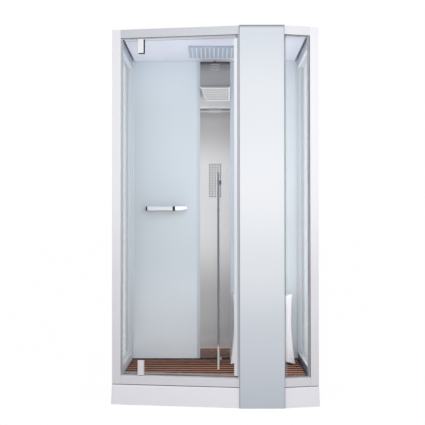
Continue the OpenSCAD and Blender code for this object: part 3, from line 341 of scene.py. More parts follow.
# %% Satin steel and chrome
# The bar's tones along Z are a painted reflection: light in its lowest part, darker above.
satin_steel = grained(
    "satin stainless steel", "chrome", "#777c85", 0.22,
    dict(scale=1200, strength=0.06, distance=0.0001, roughness=(0.18, 0.28), stretch=(1, 1, 0.05)),
    ("Z", heights("door_bar"), [
        (0.0, "#bdb9b5"), (0.11, "#b8b4b1"), (0.135, "#6e737c"), (0.6, "#767b85"), (1.0, "#858b97")]),
    Metallic=0.95)
chrome = grained(
    "polished chrome", "chrome", "#d6d8db", 0.06,
    dict(scale=60, strength=0.01, distance=0.0005, roughness=(0.04, 0.12)), Metallic=1.0)
satin_chrome = grained(
    "satin chrome", "chrome", "#e9eaec", 0.3,
    dict(scale=900, strength=0.05, distance=0.0001, roughness=(0.25, 0.35), stretch=(0.05, 1, 1)),
    Metallic=0.75)

# %% Zinc and brass
CRYSTALS_PER_METRE = 180.0
zinc, tree, surface, _ = finish("galvanised steel", "zinc_steel", "#b4b8bb", 0.4, Metallic=0.9)
place = add(tree, "TexCoord")
crystals = add(tree, "TexVoronoi", {"Vector": place.outputs["Object"], "Scale": CRYSTALS_PER_METRE})
shade = add(tree, "MapRange", {0: crystals.outputs["Color"], 1: 0.0, 2: 1.0, 3: 0.3, 4: 0.5})
tree.links.new(shade.outputs[0], surface.inputs["Roughness"])
brass = grained(
    "drawn brass", "brass", "#c8a45a", 0.25,
    dict(scale=400, strength=0.05, distance=0.0003, roughness=(0.2, 0.34), stretch=(1, 1, 0.1)), Metallic=1.0)

# %% [markdown]
# ## Finishes: rubber, vinyl and moulded plastic
# Rubber and ABS are plain colours, with the fine grain that a mould leaves. The seals of the door are clear
# vinyl, a thin film of it, so they are mostly see-through, and the gaskets round the side panes are the
# same vinyl with a milky filler. The jets are silicone, dark in the lower group and pale in the two upper
# ones.

# %% Rubber, vinyl and ABS
RUBBER_GRAIN = dict(scale=700, strength=0.1, distance=0.0002)
VINYL_GRAIN = dict(scale=400, strength=0.05, distance=0.0001)
SILICONE_GRAIN = dict(scale=900, strength=0.08, distance=0.0001)
MOULD_GRAIN = dict(scale=600, strength=0.1, distance=0.0002)
rubber = grained("EPDM rubber", "rubber", "#5b646b", 0.6, RUBBER_GRAIN, Specular_IOR_Level=0.3)
# This black is real rubber on the seals, the clamp pads, the foot strips and the shelf's end collar; it is
# also painted shade on the rear bottom rail's front and the cascade head's front, and a painted reflection on
# the shelf.
black_rubber_shade_and_reflection = grained("black EPDM rubber, also painted shade and reflection", "rubber", "#1d1f22", 0.6, RUBBER_GRAIN, Specular_IOR_Level=0.1)
vinyl = grained("clear vinyl seal", "rubber", "#cfd6d8", 0.3, VINYL_GRAIN, Alpha=0.12)
milky_vinyl = grained("milky vinyl seal", "rubber", "#d1d9de", 0.4, VINYL_GRAIN)
silicone = grained(
    "silicone nozzles", "rubber", "#26282c", 0.7, SILICONE_GRAIN,
    ("Z", (1.2, 2.1), [(0.0, "#0c0d0f"), (0.5, "#1c1d20"), (0.6, "#bdbdc0"), (1.0, "#c6c6c9")]),
    Specular_IOR_Level=0.05)
hole_shade_silicone = grained("silicone, painted near black as shade in the holes", "rubber", "#08090a", 0.7, SILICONE_GRAIN, Specular_IOR_Level=0.05)
white_abs = grained("white ABS", "white_plastic", "#ebebee", 0.35, MOULD_GRAIN)
grey_abs = grained("grey ABS", "grey_plastic", "#8f989f", 0.45, MOULD_GRAIN)
pale_abs = grained("pale grey ABS", "grey_plastic", "#c3c8cf", 0.4, dict(MOULD_GRAIN, strength=0.08))

# %% [markdown]
# ## Finishes: oiled hardwood
# The duckboard is a dark red-brown hardwood, sawn into slats and oiled. The grain runs along each slat, so
# the noise is drawn out along X: fibres about 2 mm apart, and broader bands of colour. Each slat comes from
# another plank, so a random number for each row of slats, worked out from Y, shifts the grain and the tone.
# The slats' sides are sawn, and hardly any light reaches them, so they and the rounded edges are painted
# almost black as painted shade.

# %% Oiled hardwood
SLATS = span("duckboard_slats")
SLAT_REAR, SLAT_PITCH, SLAT_DEPTH = SLATS[3], 77.6, 57.6
FIBRES_PER_METRE, BANDS_PER_METRE = 420.0, 45.0
ALONG_X = (0.06, 1.0, 1.0)
hardwood, tree, surface, _ = finish("oiled hardwood", "wood", "#7a5446", 0.8, Specular_IOR_Level=0.02)
place = add(tree, "TexCoord")
parts = add(tree, "SeparateXYZ", {0: place.outputs["Object"]})
row = add(tree, "Math", {0: parts.outputs[1], 1: -SLAT_REAR * MM}, operation="ADD")
row = add(tree, "Math", {0: row.outputs[0], 1: SLAT_PITCH * MM}, operation="DIVIDE")
row = add(tree, "Math", {0: row.outputs[0]}, operation="FLOOR")
plank = add(tree, "TexWhiteNoise", {"W": row.outputs[0]}, noise_dimensions="1D")
moved = add(tree, "VectorMath", {0: place.outputs["Object"], 1: plank.outputs["Color"]}, operation="ADD")
along = add(tree, "Mapping", {"Vector": moved.outputs[0], "Scale": ALONG_X}).outputs[0]
fibre = add(tree, "TexNoise", {"Vector": along, "Scale": FIBRES_PER_METRE, "Detail": 5.0, "Roughness": 0.65})
band = add(tree, "TexNoise", {"Vector": along, "Scale": BANDS_PER_METRE, "Detail": 2.0})
dark = add(tree, "MapRange", {0: fibre.outputs[0], 1: 0.35, 2: 0.7})
tone = add(tree, "Mix", {0: band.outputs[0], 6: "#c09280", 7: "#a3725d"}, data_type="RGBA")
tone = add(tree, "Mix", {0: dark.outputs[0], 6: tone.outputs[2], 7: "#694132"}, data_type="RGBA")
lift = add(tree, "MapRange", {0: plank.outputs["Value"], 1: 0.0, 2: 1.0, 3: 0.8, 4: 1.25})
value = add(tree, "HueSaturation", {"Value": lift.outputs[0], "Color": tone.outputs[2]})
tree.links.new(value.outputs[0], surface.inputs["Base Color"])
bump = add(tree, "Bump", {"Height": fibre.outputs[0], "Strength": 0.3, "Distance": 0.0006})
tree.links.new(bump.outputs[0], surface.inputs["Normal"])
# Painted shade: the slats' sides and rounded edges are painted near black.
shaded_slat_sides = grained(
    "oiled hardwood, sides in painted shade", "wood", "#150b07", 0.9,
    dict(scale=FIBRES_PER_METRE, strength=0.2, distance=0.0005, stretch=ALONG_X), Specular_IOR_Level=0.02)
print(len(bpy.data.materials), "materials")

# %% [markdown]
# ## Surfaces from rings
# Almost every piece here is a stack of rings: a closed outline carried along a path and changed on the way.
# The points are one numpy array, rings[i, j], point j of ring i. Neighbours are joined by quads and the two
# ends are closed. Which way a ring runs decides which way its faces point, so the volume is measured too:
# where it comes out negative the faces point inwards, and all of them are turned round.

# %% From rings to a mesh
def skin(rings, loop=False):
    """Quads join ring i, point j to ring i + 1, point j + 1. A loop of rings closes on itself, otherwise each
    end is one face."""
    m, n = rings.shape[:2]
    i, j = np.meshgrid(np.arange(m if loop else m - 1), np.arange(n), indexing="ij")
    k, h = (j + 1) % n, (i + 1) % m
    quads = np.stack([i * n + j, i * n + k, h * n + k, h * n + j], -1).reshape(-1, 4)
    ends = [] if loop else [np.arange(n)[::-1], (m - 1) * n + np.arange(n)]
    points = rings.reshape(-1, 3)
    corners = points[quads]
    diagonals = np.cross(corners[:, 2] - corners[:, 0], corners[:, 3] - corners[:, 1])
    volume = np.sum(diagonals * corners.mean(1)) / 6
    for end in ends:
        ring = points[end]
        area = np.cross(ring, np.roll(ring, -1, 0)).sum(0) / 2
        volume += area @ ring.mean(0) / 3
    faces = quads.tolist() + [end.tolist() for end in ends]
    return points, faces if volume > 0 else [face[::-1] for face in faces]


def repeat(shell, places):
    """The same shell at many places: points p + q for each place q."""
    points, faces = shell
    places = np.asarray(places, float)
    grown = (points[None] + places[:, None]).reshape(-1, 3)
    step = len(points)
    return grown, [[step * k + corner for corner in face] for k in range(len(places)) for face in faces]


# %% [markdown]
# ## From shells to pieces
# A piece is one mesh of one or more closed shells. Its edges are smooth up to an angle, and weighted normals
# keep its flats flat. It rides on the body of the node that it stands for, and that node is hidden. A node
# whose own shape is right is copied instead, and its copy gets a Bevel on its edges.

# %% New pieces, and copies with soft edges
SHARP_ANGLE = 35


def claim(made, node):
    """The piece rides on its node's body, and the node is hidden."""
    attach(made, BODY_OF[node])
    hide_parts(node)


def apply_modifiers(made):
    """Puts what the modifiers make of a piece into its mesh."""
    bpy.context.view_layer.update()
    whole = bpy.data.meshes.new_from_object(made.evaluated_get(bpy.context.evaluated_depsgraph_get()))
    made.modifiers.clear()
    made.data = whole


def flatten(made):
    """Weighted normals: a large flat face decides the shading of its rounded edges."""
    weigh = made.modifiers.new("flats stay flat", "WEIGHTED_NORMAL")
    weigh.keep_sharp = True
    apply_modifiers(made)


def piece(node, shells, materials, smooth=SHARP_ANGLE, name=None, pick=None):
    """One mesh from several shells in millimetres. `pick` takes the faces' centres and normals and gives the
    number of each face's material."""
    name = name or node + "_shape"
    points, faces = [], []
    for shell_points, shell_faces in shells:
        start = sum(len(p) for p in points)
        points.append(shell_points)
        faces += [[start + corner for corner in face] for face in shell_faces]
    mesh = bpy.data.meshes.new(name)
    mesh.from_pydata((np.concatenate(points) * MM).tolist(), [], faces)
    mesh.polygons.foreach_set("use_smooth", np.ones(len(faces), bool))
    mesh.set_sharp_from_angle(angle=math.radians(smooth))
    materials = materials if isinstance(materials, list) else [materials]
    for material in materials:
        mesh.materials.append(material)
    if pick is not None:
        normals = np.zeros(len(faces) * 3)
        centres = np.zeros(len(faces) * 3)
        mesh.polygons.foreach_get("normal", normals)
        mesh.polygons.foreach_get("center", centres)
        chosen = pick(centres.reshape(-1, 3) / MM, normals.reshape(-1, 3))
        mesh.polygons.foreach_set("material_index", chosen.astype(np.int32))
    made = bpy.data.objects.new(name, mesh)
    bpy.context.scene.collection.objects.link(made)
    flatten(made)
    claim(made, node)
    print(f"{name}: {len(points)} shells, {len(faces)} faces")
    return made


def softened(node, material, width=1.0, segments=2):
    """A copy of a node's solid: loose triangles merged, flat ones joined, then a Bevel `width` mm wide."""
    made = bpy.data.objects.new(node + "_shape", frame["nodes"][node].data.copy())
    bpy.context.scene.collection.objects.link(made)
    work = bmesh.new()
    work.from_mesh(made.data)
    bmesh.ops.remove_doubles(work, verts=work.verts, dist=1e-6)
    bmesh.ops.dissolve_limit(work, angle_limit=math.radians(0.5), verts=work.verts, edges=work.edges)
    work.to_mesh(made.data)
    work.free()
    made.data.polygons.foreach_set("use_smooth", np.ones(len(made.data.polygons), bool))
    made.data.set_sharp_from_angle(angle=math.radians(SHARP_ANGLE))
    made.data.materials.clear()
    made.data.materials.append(material)
    edges = made.modifiers.new("soft edges", "BEVEL")
    edges.width, edges.segments, edges.angle_limit = width * MM, segments, math.radians(40)
    edges.limit_method, edges.harden_normals = "ANGLE", False
    flatten(made)
    claim(made, node)
    print(f"{made.name}: {len(made.data.polygons)} faces")
    return made


# %% [markdown]
# ## Plans with rounded corners
# An extrusion has no knife edges: its corners are arcs of a millimetre or two, and those arcs catch the
# light. So a plan is drawn in by a distance, and each corner becomes an arc. Drawing the plan in as a piece
# rises rounds its upper and lower edges in the same way.

# %% Outlines and prisms
FOOT_HEIGHT, FOOT_INSET = 3.0, 2.5


def rectangle(x0, x1, y0, y1):
    """Four corners, counterclockwise as seen from above."""
    return [(x0, y0), (x1, y0), (x1, y1), (x0, y1)]


def outline(plan, radius, inset=0.0, steps=4):
    """The plan moved in by `inset`, with rounded corners.

    At a corner q between directions a and b, their inner normals m and n give the arc's centre,
    q + r (m + n) / (1 + m.n), and the arc runs from the direction -m to -n about it."""
    p = np.asarray(plan, float)
    a = p - np.roll(p, 1, 0)
    a /= np.linalg.norm(a, axis=1, keepdims=True)
    b = np.roll(a, -1, 0)
    m, n = np.c_[-a[:, 1], a[:, 0]], np.c_[-b[:, 1], b[:, 0]]
    bisector = (m + n) / (1 + (m * n).sum(1, keepdims=True))
    side = np.sign(a[:, 0] * b[:, 1] - a[:, 1] * b[:, 0])[:, None]
    side[side == 0] = 1
    r = np.maximum(radius - side * inset, 0.05)
    centre = p + inset * bisector + side * r * bisector
    first = -side * m
    sweep = np.arctan2(a[:, 0] * b[:, 1] - a[:, 1] * b[:, 0], (a * b).sum(1))
    angle = np.arctan2(first[:, 1], first[:, 0])[:, None] + sweep[:, None] * np.linspace(0, 1, steps + 1)
    arcs = centre[:, None] + r[:, :, None] * np.stack([np.cos(angle), np.sin(angle)], -1)
    return arcs.reshape(-1, 2)


def stack(plan, levels, radius=1.5, steps=4):
    """Rings of one plan: levels are (inset, height)."""
    rings = [(outline(plan, radius, inset, steps), z) for inset, z in levels]
    return np.stack([np.c_[ring, np.full(len(ring), z)] for ring, z in rings])


def quarter(radius, z0, z1, steps=3):
    """Levels that round both edges: inset r (1 - sin t) at a height r (1 - cos t) from each end."""
    t = np.linspace(0, math.pi / 2, steps + 1)
    inset, rise = radius * (1 - np.sin(t)), radius * (1 - np.cos(t))
    return list(zip(inset, z0 + rise)) + list(zip(inset[::-1], z1 - rise[::-1]))


def bar(plan, z0, z1, edge=1.2, corner=1.5, steps=3, foot=False):
    """A plan raised from z0 to z1 with its edges rounded. A foot is a low sealing strip that stands in."""
    strip = [(FOOT_INSET, z0), (FOOT_INSET, z0 + FOOT_HEIGHT)] if foot else []
    return skin(stack(plan, strip + quarter(edge, z0 + FOOT_HEIGHT * foot, z1, steps), corner, steps))


def block(x0, x1, y0, y1, z0, z1, edge=1.2, corner=1.5, steps=3):
    """A box with rounded edges, from its limits along X, Y and Z."""
    return bar(rectangle(x0, x1, y0, y1), z0, z1, edge, corner, steps)


# %% Turned pieces
def lathe(profile, origin, axis, segments=32):
    """A profile of (distance along the axis, radius) turned about it: p = o + s k + r (cos f i + sin f j)."""
    k = np.asarray(axis, float) / np.linalg.norm(axis)
    i = np.cross(k, [0, 0, 1.0]) if abs(k[2]) < 0.9 else np.array([1.0, 0, 0])
    i /= np.linalg.norm(i)
    j = np.cross(k, i)
    s, r = np.asarray(profile, float).T
    f = np.linspace(0, 2 * math.pi, segments, endpoint=False)
    spokes = np.cos(f)[:, None] * i + np.sin(f)[:, None] * j
    middles = np.asarray(origin, float) + s[:, None, None] * k
    return skin(middles + np.maximum(r, 0.01)[:, None, None] * spokes)


def turned(length, radius, edge):
    """The profile of a round bar with rounded ends."""
    t = np.linspace(0, math.pi / 2, 4)
    s, r = edge * (1 - np.cos(t)), radius - edge * (1 - np.sin(t))
    return [(0.0, 0.0)] + list(zip(s, r)) + list(zip(length - s[::-1], r[::-1])) + [(length, 0.0)]


# %% [markdown]
# ## The plan of the cabin
# Seen from above the front is not straight: two shallow slanted walls meet a tall column. A point in a
# slanted wall is easiest to give by u, along the wall, and v, into the cabin. Two small functions turn
# those into X and Y.

# %% Places in the slanted walls
A, B, C, D = (np.array(p, float) for p in ((-595, -318), (140, -435), (397, -435), (595, -384)))
E, F = np.array([595.0, 445.0]), np.array([-595.0, 445.0])
FRAME_PLAN = np.array([A, B, C, D, E, F])
LEFT, RIGHT = (B - A) / np.linalg.norm(B - A), (D - C) / np.linalg.norm(D - C)
RIGHT_LEN = np.linalg.norm(D - C)
PROFILE = 50


def inward(d):
    """A wall's direction turned to the left by 90 degrees, which is into the cabin."""
    return np.array([-d[1], d[0]])


def left(u, v):
    """A place in the left slanted wall, A + u LEFT + v inward."""
    return A + u * LEFT + v * inward(LEFT)


def right(u, v):
    """A place in the right slanted wall, C + u RIGHT + v inward."""
    return C + u * RIGHT + v * inward(RIGHT)


def wall_plan(place, u0, u1, v0, v1):
    """A rectangle in a slanted wall's u and v, as corners in X and Y."""
    return [place(u, v) for u, v in rectangle(u0, u1, v0, v1)]


def meets(x, point, d):
    """Where the line through a point along d crosses the given x."""
    return np.array([x, point[1] + (x - point[0]) * d[1] / d[0]])


def set_into(shell, start, along):
    """A shell drawn in u, v and z, set into the slanted wall from a corner along a direction."""
    points, faces = shell
    plan = start + points[:, :1] * along + points[:, 1:2] * inward(along)
    return np.c_[plan, points[:, 2]], faces


def on_left(shell):
    return set_into(shell, A, LEFT)


def on_right(shell):
    return set_into(shell, C, RIGHT)


print("left wall", round(float(np.linalg.norm(B - A)), 1), "mm, right wall", round(float(RIGHT_LEN), 1), "mm")

# %% [markdown]
# ## The tray
# A shower tray is drawn from one sheet of acrylic over a mould, so everything on it is rounded, and its
# skirt leans in slightly towards the top so that it comes off the mould. One stack of rings makes it: up
# the outside, over the rim, down into the basin, with the underside in the same stack, so that the wall is
# closed everywhere. A Boolean modifier cuts the opening for the waste pipe into the back of the skirt, the
# hole for the waste and the hole for the cable gland.

# %% Tray
def arc_levels(inset, z, radius, start, end, steps=5):
    """Levels on an arc about (inset, z), with angles in degrees."""
    t = np.radians(np.linspace(start, end, steps + 1))
    return list(zip(inset + radius * np.cos(t), z + radius * np.sin(t)))


tray_levels = [(57, 66), (57, 106), (54, 109), (3, 109), (0, 106), (0, 0), (-5, 0), (-4.9, 8)]
tray_levels += arc_levels(5.6, 107.0, 7.0, 180, 90) + arc_levels(56.0, 108.0, 6.0, 90, 0)
tray_levels += arc_levels(74.0, 82.0, 12.0, 180, 270) + [(84, 70)]
tray = piece("base_tray", [skin(stack(FRAME_PLAN, tray_levels, radius=8.0, steps=6))], acrylic, smooth=50)

# %% Openings in the tray
waste_pipe_notch = block(-155, -85, 420, 470, -20, 60, 4, 4)
waste_hole = lathe([(0, 0), (0, 45), (60, 45), (60, 0)], (-120, 200, 40), (0, 0, 1), 48)
gland_hole = lathe([(0, 0), (0, 10), (40, 10), (40, 0)], (260, 430, 30), (0, 1, 0), 32)
for points, faces in (waste_pipe_notch, waste_hole, gland_hole):
    opening = bpy.data.meshes.new("opening")
    opening.from_pydata((points * MM).tolist(), [], faces)
    cutter = bpy.data.objects.new("opening", opening)
    bpy.context.scene.collection.objects.link(cutter)
    cut = tray.modifiers.new("opening", "BOOLEAN")
    cut.object, cut.operation = cutter, "DIFFERENCE"
    apply_modifiers(tray)
    bpy.data.objects.remove(cutter)
print("tray with its openings:", len(tray.data.polygons), "faces")

# %% [markdown]
# ## The duckboard
# Ten slats lie on five bearers in the basin. A slat is a plank with softened edges, cut off where the
# slanted walls and the column are. The cut is a clip of its rectangle by a straight line, as a saw would do
# it.

# %% Planks cut by the walls
def clip(plan, point, normal):
    """Keeps the part of a convex plan on the side of a line that the normal points to."""
    kept = []
    depth = (plan - point) @ normal
    for p, q, a, b in zip(plan, np.roll(plan, -1, 0), depth, np.roll(depth, -1)):
        if a >= 0:
            kept.append(p)
        if a * b < 0:
            kept.append(p + (q - p) * a / (a - b))
    kept = np.array(kept).reshape(-1, 2)
    far = np.linalg.norm(kept - np.roll(kept, 1, 0), axis=1) > 0.5 if len(kept) else []
    return kept[far] if len(kept) else kept


def inside_room(plan, margin):
    """The plan cut back by the two slanted walls' inner faces."""
    plan = clip(np.array(plan, float), left(0, PROFILE + margin), inward(LEFT))
    return clip(plan, right(0, PROFILE + margin), inward(RIGHT))


# %% Slats and bearers
SLAT_LEFT, SLAT_RIGHT = SLATS[:2]
SLAT_FOOT, SLAT_TOP = SLATS[4:]
SLAT_GAP, BEARER_GAP, BEARER_HALF, BEARER_FOOT = 4, 12, 15, 70.5
column_left, column_right, _, column_back = span("column_housing")[:4]
slats = []
for i in range(10):
    y1 = SLAT_REAR - SLAT_PITCH * i
    y0 = y1 - SLAT_DEPTH
    spans = [(SLAT_LEFT, SLAT_RIGHT)]
    if y0 <= column_back + SLAT_GAP:
        spans = [(SLAT_LEFT, column_left - SLAT_GAP), (column_right + SLAT_GAP, SLAT_RIGHT)]
    for x0, x1 in spans:
        plan = inside_room(rectangle(x0, x1, y0, y1), SLAT_GAP)
        if len(plan) > 2:
            slats.append(bar(plan, SLAT_FOOT, SLAT_TOP, edge=4.5, corner=1.0))
# Every face of a slat but its flat top takes the near-black painted shade.
piece("duckboard_slats", slats, [hardwood, shaded_slat_sides], pick=lambda centres, normals: normals[:, 2] < 0.97)
bearers = []
for x, front in ((-500, -378), (-250, -378), (0, -378), (250, -325), (500, -378)):
    plan = inside_room(rectangle(x - BEARER_HALF, x + BEARER_HALF, front, SLAT_REAR), BEARER_GAP)
    bearers.append(bar(plan, BEARER_FOOT, SLAT_FOOT, edge=2.0, corner=1.0))
piece("duckboard_bearers", bearers, hardwood)

# %% [markdown]
# ## Posts, sills, headers and rails
# The frame is extruded aluminium. Each length gets arcs on its long edges. A post has a lid pressed into
# its end, seen from above as a fine groove. Where two lengths meet, their rounded ends leave the hairline
# that a real joint has. Under the posts and sills a black sealing strip stands in by a few millimetres, so
# the frame seems to float.

# %% Posts
def post(plan):
    """A post on its foot strip, with the groove of its lid: the rings go in, down, in again and up."""
    foot = [(FOOT_INSET, FRAME_FOOT), (FOOT_INSET, FRAME_FOOT + FOOT_HEIGHT)]
    groove = FRAME_TOP - 1.2
    lid = [(2.6, FRAME_TOP), (2.7, groove), (3.5, groove), (3.6, FRAME_TOP - 0.4)]
    return skin(stack(plan, foot + quarter(1.0, FRAME_FOOT + FOOT_HEIGHT, FRAME_TOP) + lid, 2.0))


def on_foot(centres, _):
    """The faces of the sealing strip: they lie wholly in the frame's lowest 3 mm."""
    return centres[:, 2] < FRAME_FOOT + FOOT_HEIGHT - 0.1


P, Q = left(PROFILE, 0), left(PROFILE, PROFILE)
R, S = right(RIGHT_LEN - PROFILE, 0), right(RIGHT_LEN - PROFILE, PROFILE)
piece("front_left_post", [post([A, P, Q, (A[0], Q[1])])], [powder_coat, black_rubber_shade_and_reflection], pick=on_foot)
piece("front_right_post", [post([R, D, (D[0], S[1]), S])], [powder_coat, black_rubber_shade_and_reflection], pick=on_foot)
for node in ("rear_left_post", "rear_right_post"):
    piece(node, [post(rectangle(*span(node)[:4]))], half_shade_coat)

# %% Sills and headers
left_bar = [left(PROFILE, 0), B, meets(B[0], left(0, PROFILE), LEFT), left(PROFILE, PROFILE)]
right_bar = [C, R, S, meets(C[0], right(0, PROFILE), RIGHT)]
for node in ("front_left_sill", "front_right_sill", "front_left_header", "front_right_header"):
    plan = left_bar if "left" in node else right_bar
    paint = half_shade_coat if node == "front_left_header" else light_shade_coat
    shape = bar(plan, *span(node)[4:], edge=1.5, corner=1.6, foot=node.endswith("sill"))
    piece(node, [shape], [paint, black_rubber_shade_and_reflection], pick=on_foot)

# %% Rails
# Each rail's inner face gets its own coat; on the right bottom rail and the top rails it is painted shade.
inner_coats = {
    "left_bottom_rail": powder_coat, "right_bottom_rail": deep_shade_coat,
    "left_top_rail": roof_shade_coat, "right_top_rail": roof_shade_coat}
for node, inner_coat in inner_coats.items():
    into_room = 1 if node.startswith("left") else -1
    piece(node, [block(*span(node), edge=1.5, corner=0.6)], [powder_coat, inner_coat],
          pick=lambda centres, normals: normals[:, 0] * into_room > 0.5)
# The rear bottom rail's front face is black, a painted shade under the rear panels.
piece("rear_bottom_rail", [block(*span("rear_bottom_rail"))], [powder_coat, black_rubber_shade_and_reflection],
      pick=lambda centres, normals: normals[:, 1] < -0.5)

# %% [markdown]
# ## Glass panes
# A pane is a flat block with ground edges. Its two large faces take the clear glass and the narrow ones the
# edge material: the face's normal tells them apart.

# %% Panes
def pane(node, plan, across, face):
    """A pane whose faces along `across` are clear and whose edges are ground."""
    across = np.array([across[0], across[1], 0.0])
    shape = bar(plan, *span(node)[4:], edge=0.8, corner=0.8, steps=1)
    piece(node, [shape], [face, glass_edge], smooth=20,
          pick=lambda centres, normals: np.abs(normals @ across) < 0.9)


for node in ("left_side_glass", "right_side_glass"):
    pane(node, rectangle(*span(node)[:4]), (1, 0), side_glass)
pane("front_fixed_glass", wall_plan(right, 12.5, 151.47, 21, 29), inward(RIGHT), clear_glass)
pane("door_glass", wall_plan(left, 56, 723, 16, 24), inward(LEFT), clear_glass)

# %% [markdown]
# ## The column
# The column hides the steam generator. Its face is a tall satin glass panel with a polished arris, between
# two slim edge trims, and behind it is a folded housing.

# %% Column
TRIM_WIDTH = 2.5
x0, x1, y0, y1, z0, z1 = span("column_fascia")
piece("column_fascia", [block(x0 + 0.1, x1 - 0.1, y0, y1, z0, z1, edge=1.0, corner=1.0)], satin_glass)
trims = [block(x, x + TRIM_WIDTH, y0 + 0.4, y1, z0, z1, edge=0.5, corner=0.5) for x in (x0 - TRIM_WIDTH, x1)]
piece("column_edge_trims", trims, grey_abs)
softened("column_housing", powder_coat, 1.5)
softened("strike_profile", pale_abs, 0.8)

# %% [markdown]
# ## The rear wall
# Two painted panels stand left and right of the steel strip, each with a slim trim where it meets the
# steel.

# %% Rear panels and trims
for node, paint in (("back_panel_left", painted_glass), ("back_panel_right", lit_right_glass)):
    piece(node, [block(*span(node), edge=0.8, corner=0.8)], paint)
pale_coat = grained("pale blue powder coat", "painted_glass", "#b8c1c9", 0.35, POWDER_PEEL)
softened("panel_trims", pale_coat, 0.8)

# %% [markdown]
# ## Jets in the steel strip
# A body jet is a silicone nipple pushed through the sheet from behind, so that lime can be rubbed off it.
# All the jets of a group are one moulding, a mat with nipples. One nipple is turned, and the same points
# are set down at every hole by adding each hole's place to them, which is one numpy sum for the whole
# group.

# %% Jets
WALL = span("shower_panel")[2]
STRIP_MIDDLE = sum(span("shower_panel")[:2]) / 2
# columns, rows, their distances in X and Z, and the height of the group's middle
JET_GROUPS = ((5, 13, 17.5, 17.5, 1331), (5, 4, 17, 15.7, 1806), (4, 3, 15, 17, 2084))
MAT_MARGIN = 9


def grid(columns, rows, dx, dz):
    """Places on a grid about the origin, as x and z."""
    i, j = np.meshgrid(np.arange(columns) - (columns - 1) / 2, np.arange(rows) - (rows - 1) / 2)
    return np.c_[i.ravel() * dx, np.zeros(i.size), j.ravel() * dz]


nipple_profile = [(0, 0), (0, 3), (5, 3), (5, 4.9), (6, 4.7), (7, 3), (7, 1.2), (5, 0.9), (5, 0)]
nipple = lathe(nipple_profile, (STRIP_MIDDLE, WALL + 5, 0), (0, -1, 0), 16)
mats = []
for columns, rows, dx, dz, middle in JET_GROUPS:
    mats.append(repeat(nipple, grid(columns, rows, dx, dz) + (0, 0, middle)))
    half_w, half_h = (columns - 1) / 2 * dx + MAT_MARGIN, (rows - 1) / 2 * dz + MAT_MARGIN
    mats.append(block(
        STRIP_MIDDLE - half_w, STRIP_MIDDLE + half_w, WALL + 3, WALL + 7, middle - half_h, middle + half_h,
        edge=0.8, corner=3))
piece("jet_nozzles", mats, silicone, smooth=50)
softened("jet_manifolds", grey_abs, 1.5)

# %% [markdown]
# ## The cascade head
# A wedge-shaped head stands out from the steel. Its body is one moulding, open below, and its underside is a
# steel plate with rows of holes. The body is the CAD solid with softened edges, because its taper is already
# right. So is the plate, which has the real holes, and each hole gets a silicone nipple, near black as the
# painted shade inside the hole. The wedge's front edge is painted black, a painted shade.

# %% Cascade head
cascade = softened("cascade_body", acrylic, 1.2)
# The front faces take the black, as painted shade.
cascade.data.materials.append(black_rubber_shade_and_reflection)
for face in cascade.data.polygons:
    face.material_index = int(face.normal.y < -0.9)
plate_steel = grained(
    "glass bead blasted steel", "steel", "#efefee", 0.42,
    dict(scale=1500, strength=0.1, distance=0.0001), Metallic=0.2)
softened("cascade_plate", plate_steel, 0.3, 1)

# %% Nipples in the cascade plate
PLATE_LEFT, PLATE_FOOT = span("cascade_plate")[0], span("cascade_plate")[4]
REACH, RISE = 110.0, 75.0
COLUMNS, ROWS, COLUMN_STEP = 12, 6, 15.0
down = np.array([0, -RISE, -REACH]) / math.hypot(RISE, REACH)
i, j = (index.ravel() for index in np.meshgrid(np.arange(COLUMNS), np.arange(ROWS), indexing="ij"))
from_left, y = 14 + COLUMN_STEP * i, WALL - (j + 0.75) * REACH / ROWS
open_here = from_left > 36 * (1 - (j + 1) / ROWS) + 8
places = np.stack([PLATE_LEFT + from_left, y, PLATE_FOOT + RISE * (WALL - y) / REACH], -1)[open_here]
spray_profile = [
    (-2.2, 0), (-2.2, 3.0), (0, 3.0), (0, 5.6), (0.8, 5.2), (1.2, 3), (1.2, 1.2), (-1, 1.0), (-1, 0)]
spray = lathe(spray_profile, (0, 0, 0), down, 16)
# The nipples are near black, a painted shade inside the plate's holes.
piece("cascade_plate", [repeat(spray, places)], hole_shade_silicone, smooth=50, name="cascade_nipples")

# %% [markdown]
# ## Ceiling and rain head
# The ceiling hangs four centimetres under the roof's top and keeps a narrow shadow gap to the walls. Under it
# sits the rain head: a flat box with its nipples in 11 columns and 12 rows, 27 mm apart.

# %% Ceiling, roof and rain head
softened("ceiling_panel", lilac_acrylic, 1.2)
softened("roof_pan", acrylic, 1.2)
x0, x1, y0, y1, nipple_foot, z1 = span("rain_head")
rain_face = nipple_foot + 2
piece("rain_head", [block(x0, x1, y0, y1, rain_face, z1, edge=1.5, corner=6, steps=4)], rain_acrylic)
drop_profile = [(0, 0), (0, 3.5), (1.2, 3.3), (2, 2.3), (2, 1.1), (0.6, 0.9), (0.6, 0)]
drop = lathe(drop_profile, ((x0 + x1) / 2, (y0 + y1) / 2, rain_face), (0, 0, -1), 12)
places = grid(11, 12, 27, 300 / 11)[:, [0, 2, 1]]
piece("rain_head", [repeat(drop, places)], white_abs, smooth=50, name="rain_nipples")

# %% [markdown]
# ## The shelf
# The shelf is a chromed bar with a dark collar at its end and an upswept white end. The black band between
# its two parts is a painted reflection in the chrome.

# %% Shelf
SHELF = span("wall_shelf")
SHELF_EDGE, SHELF_STEPS = 0.8, 10


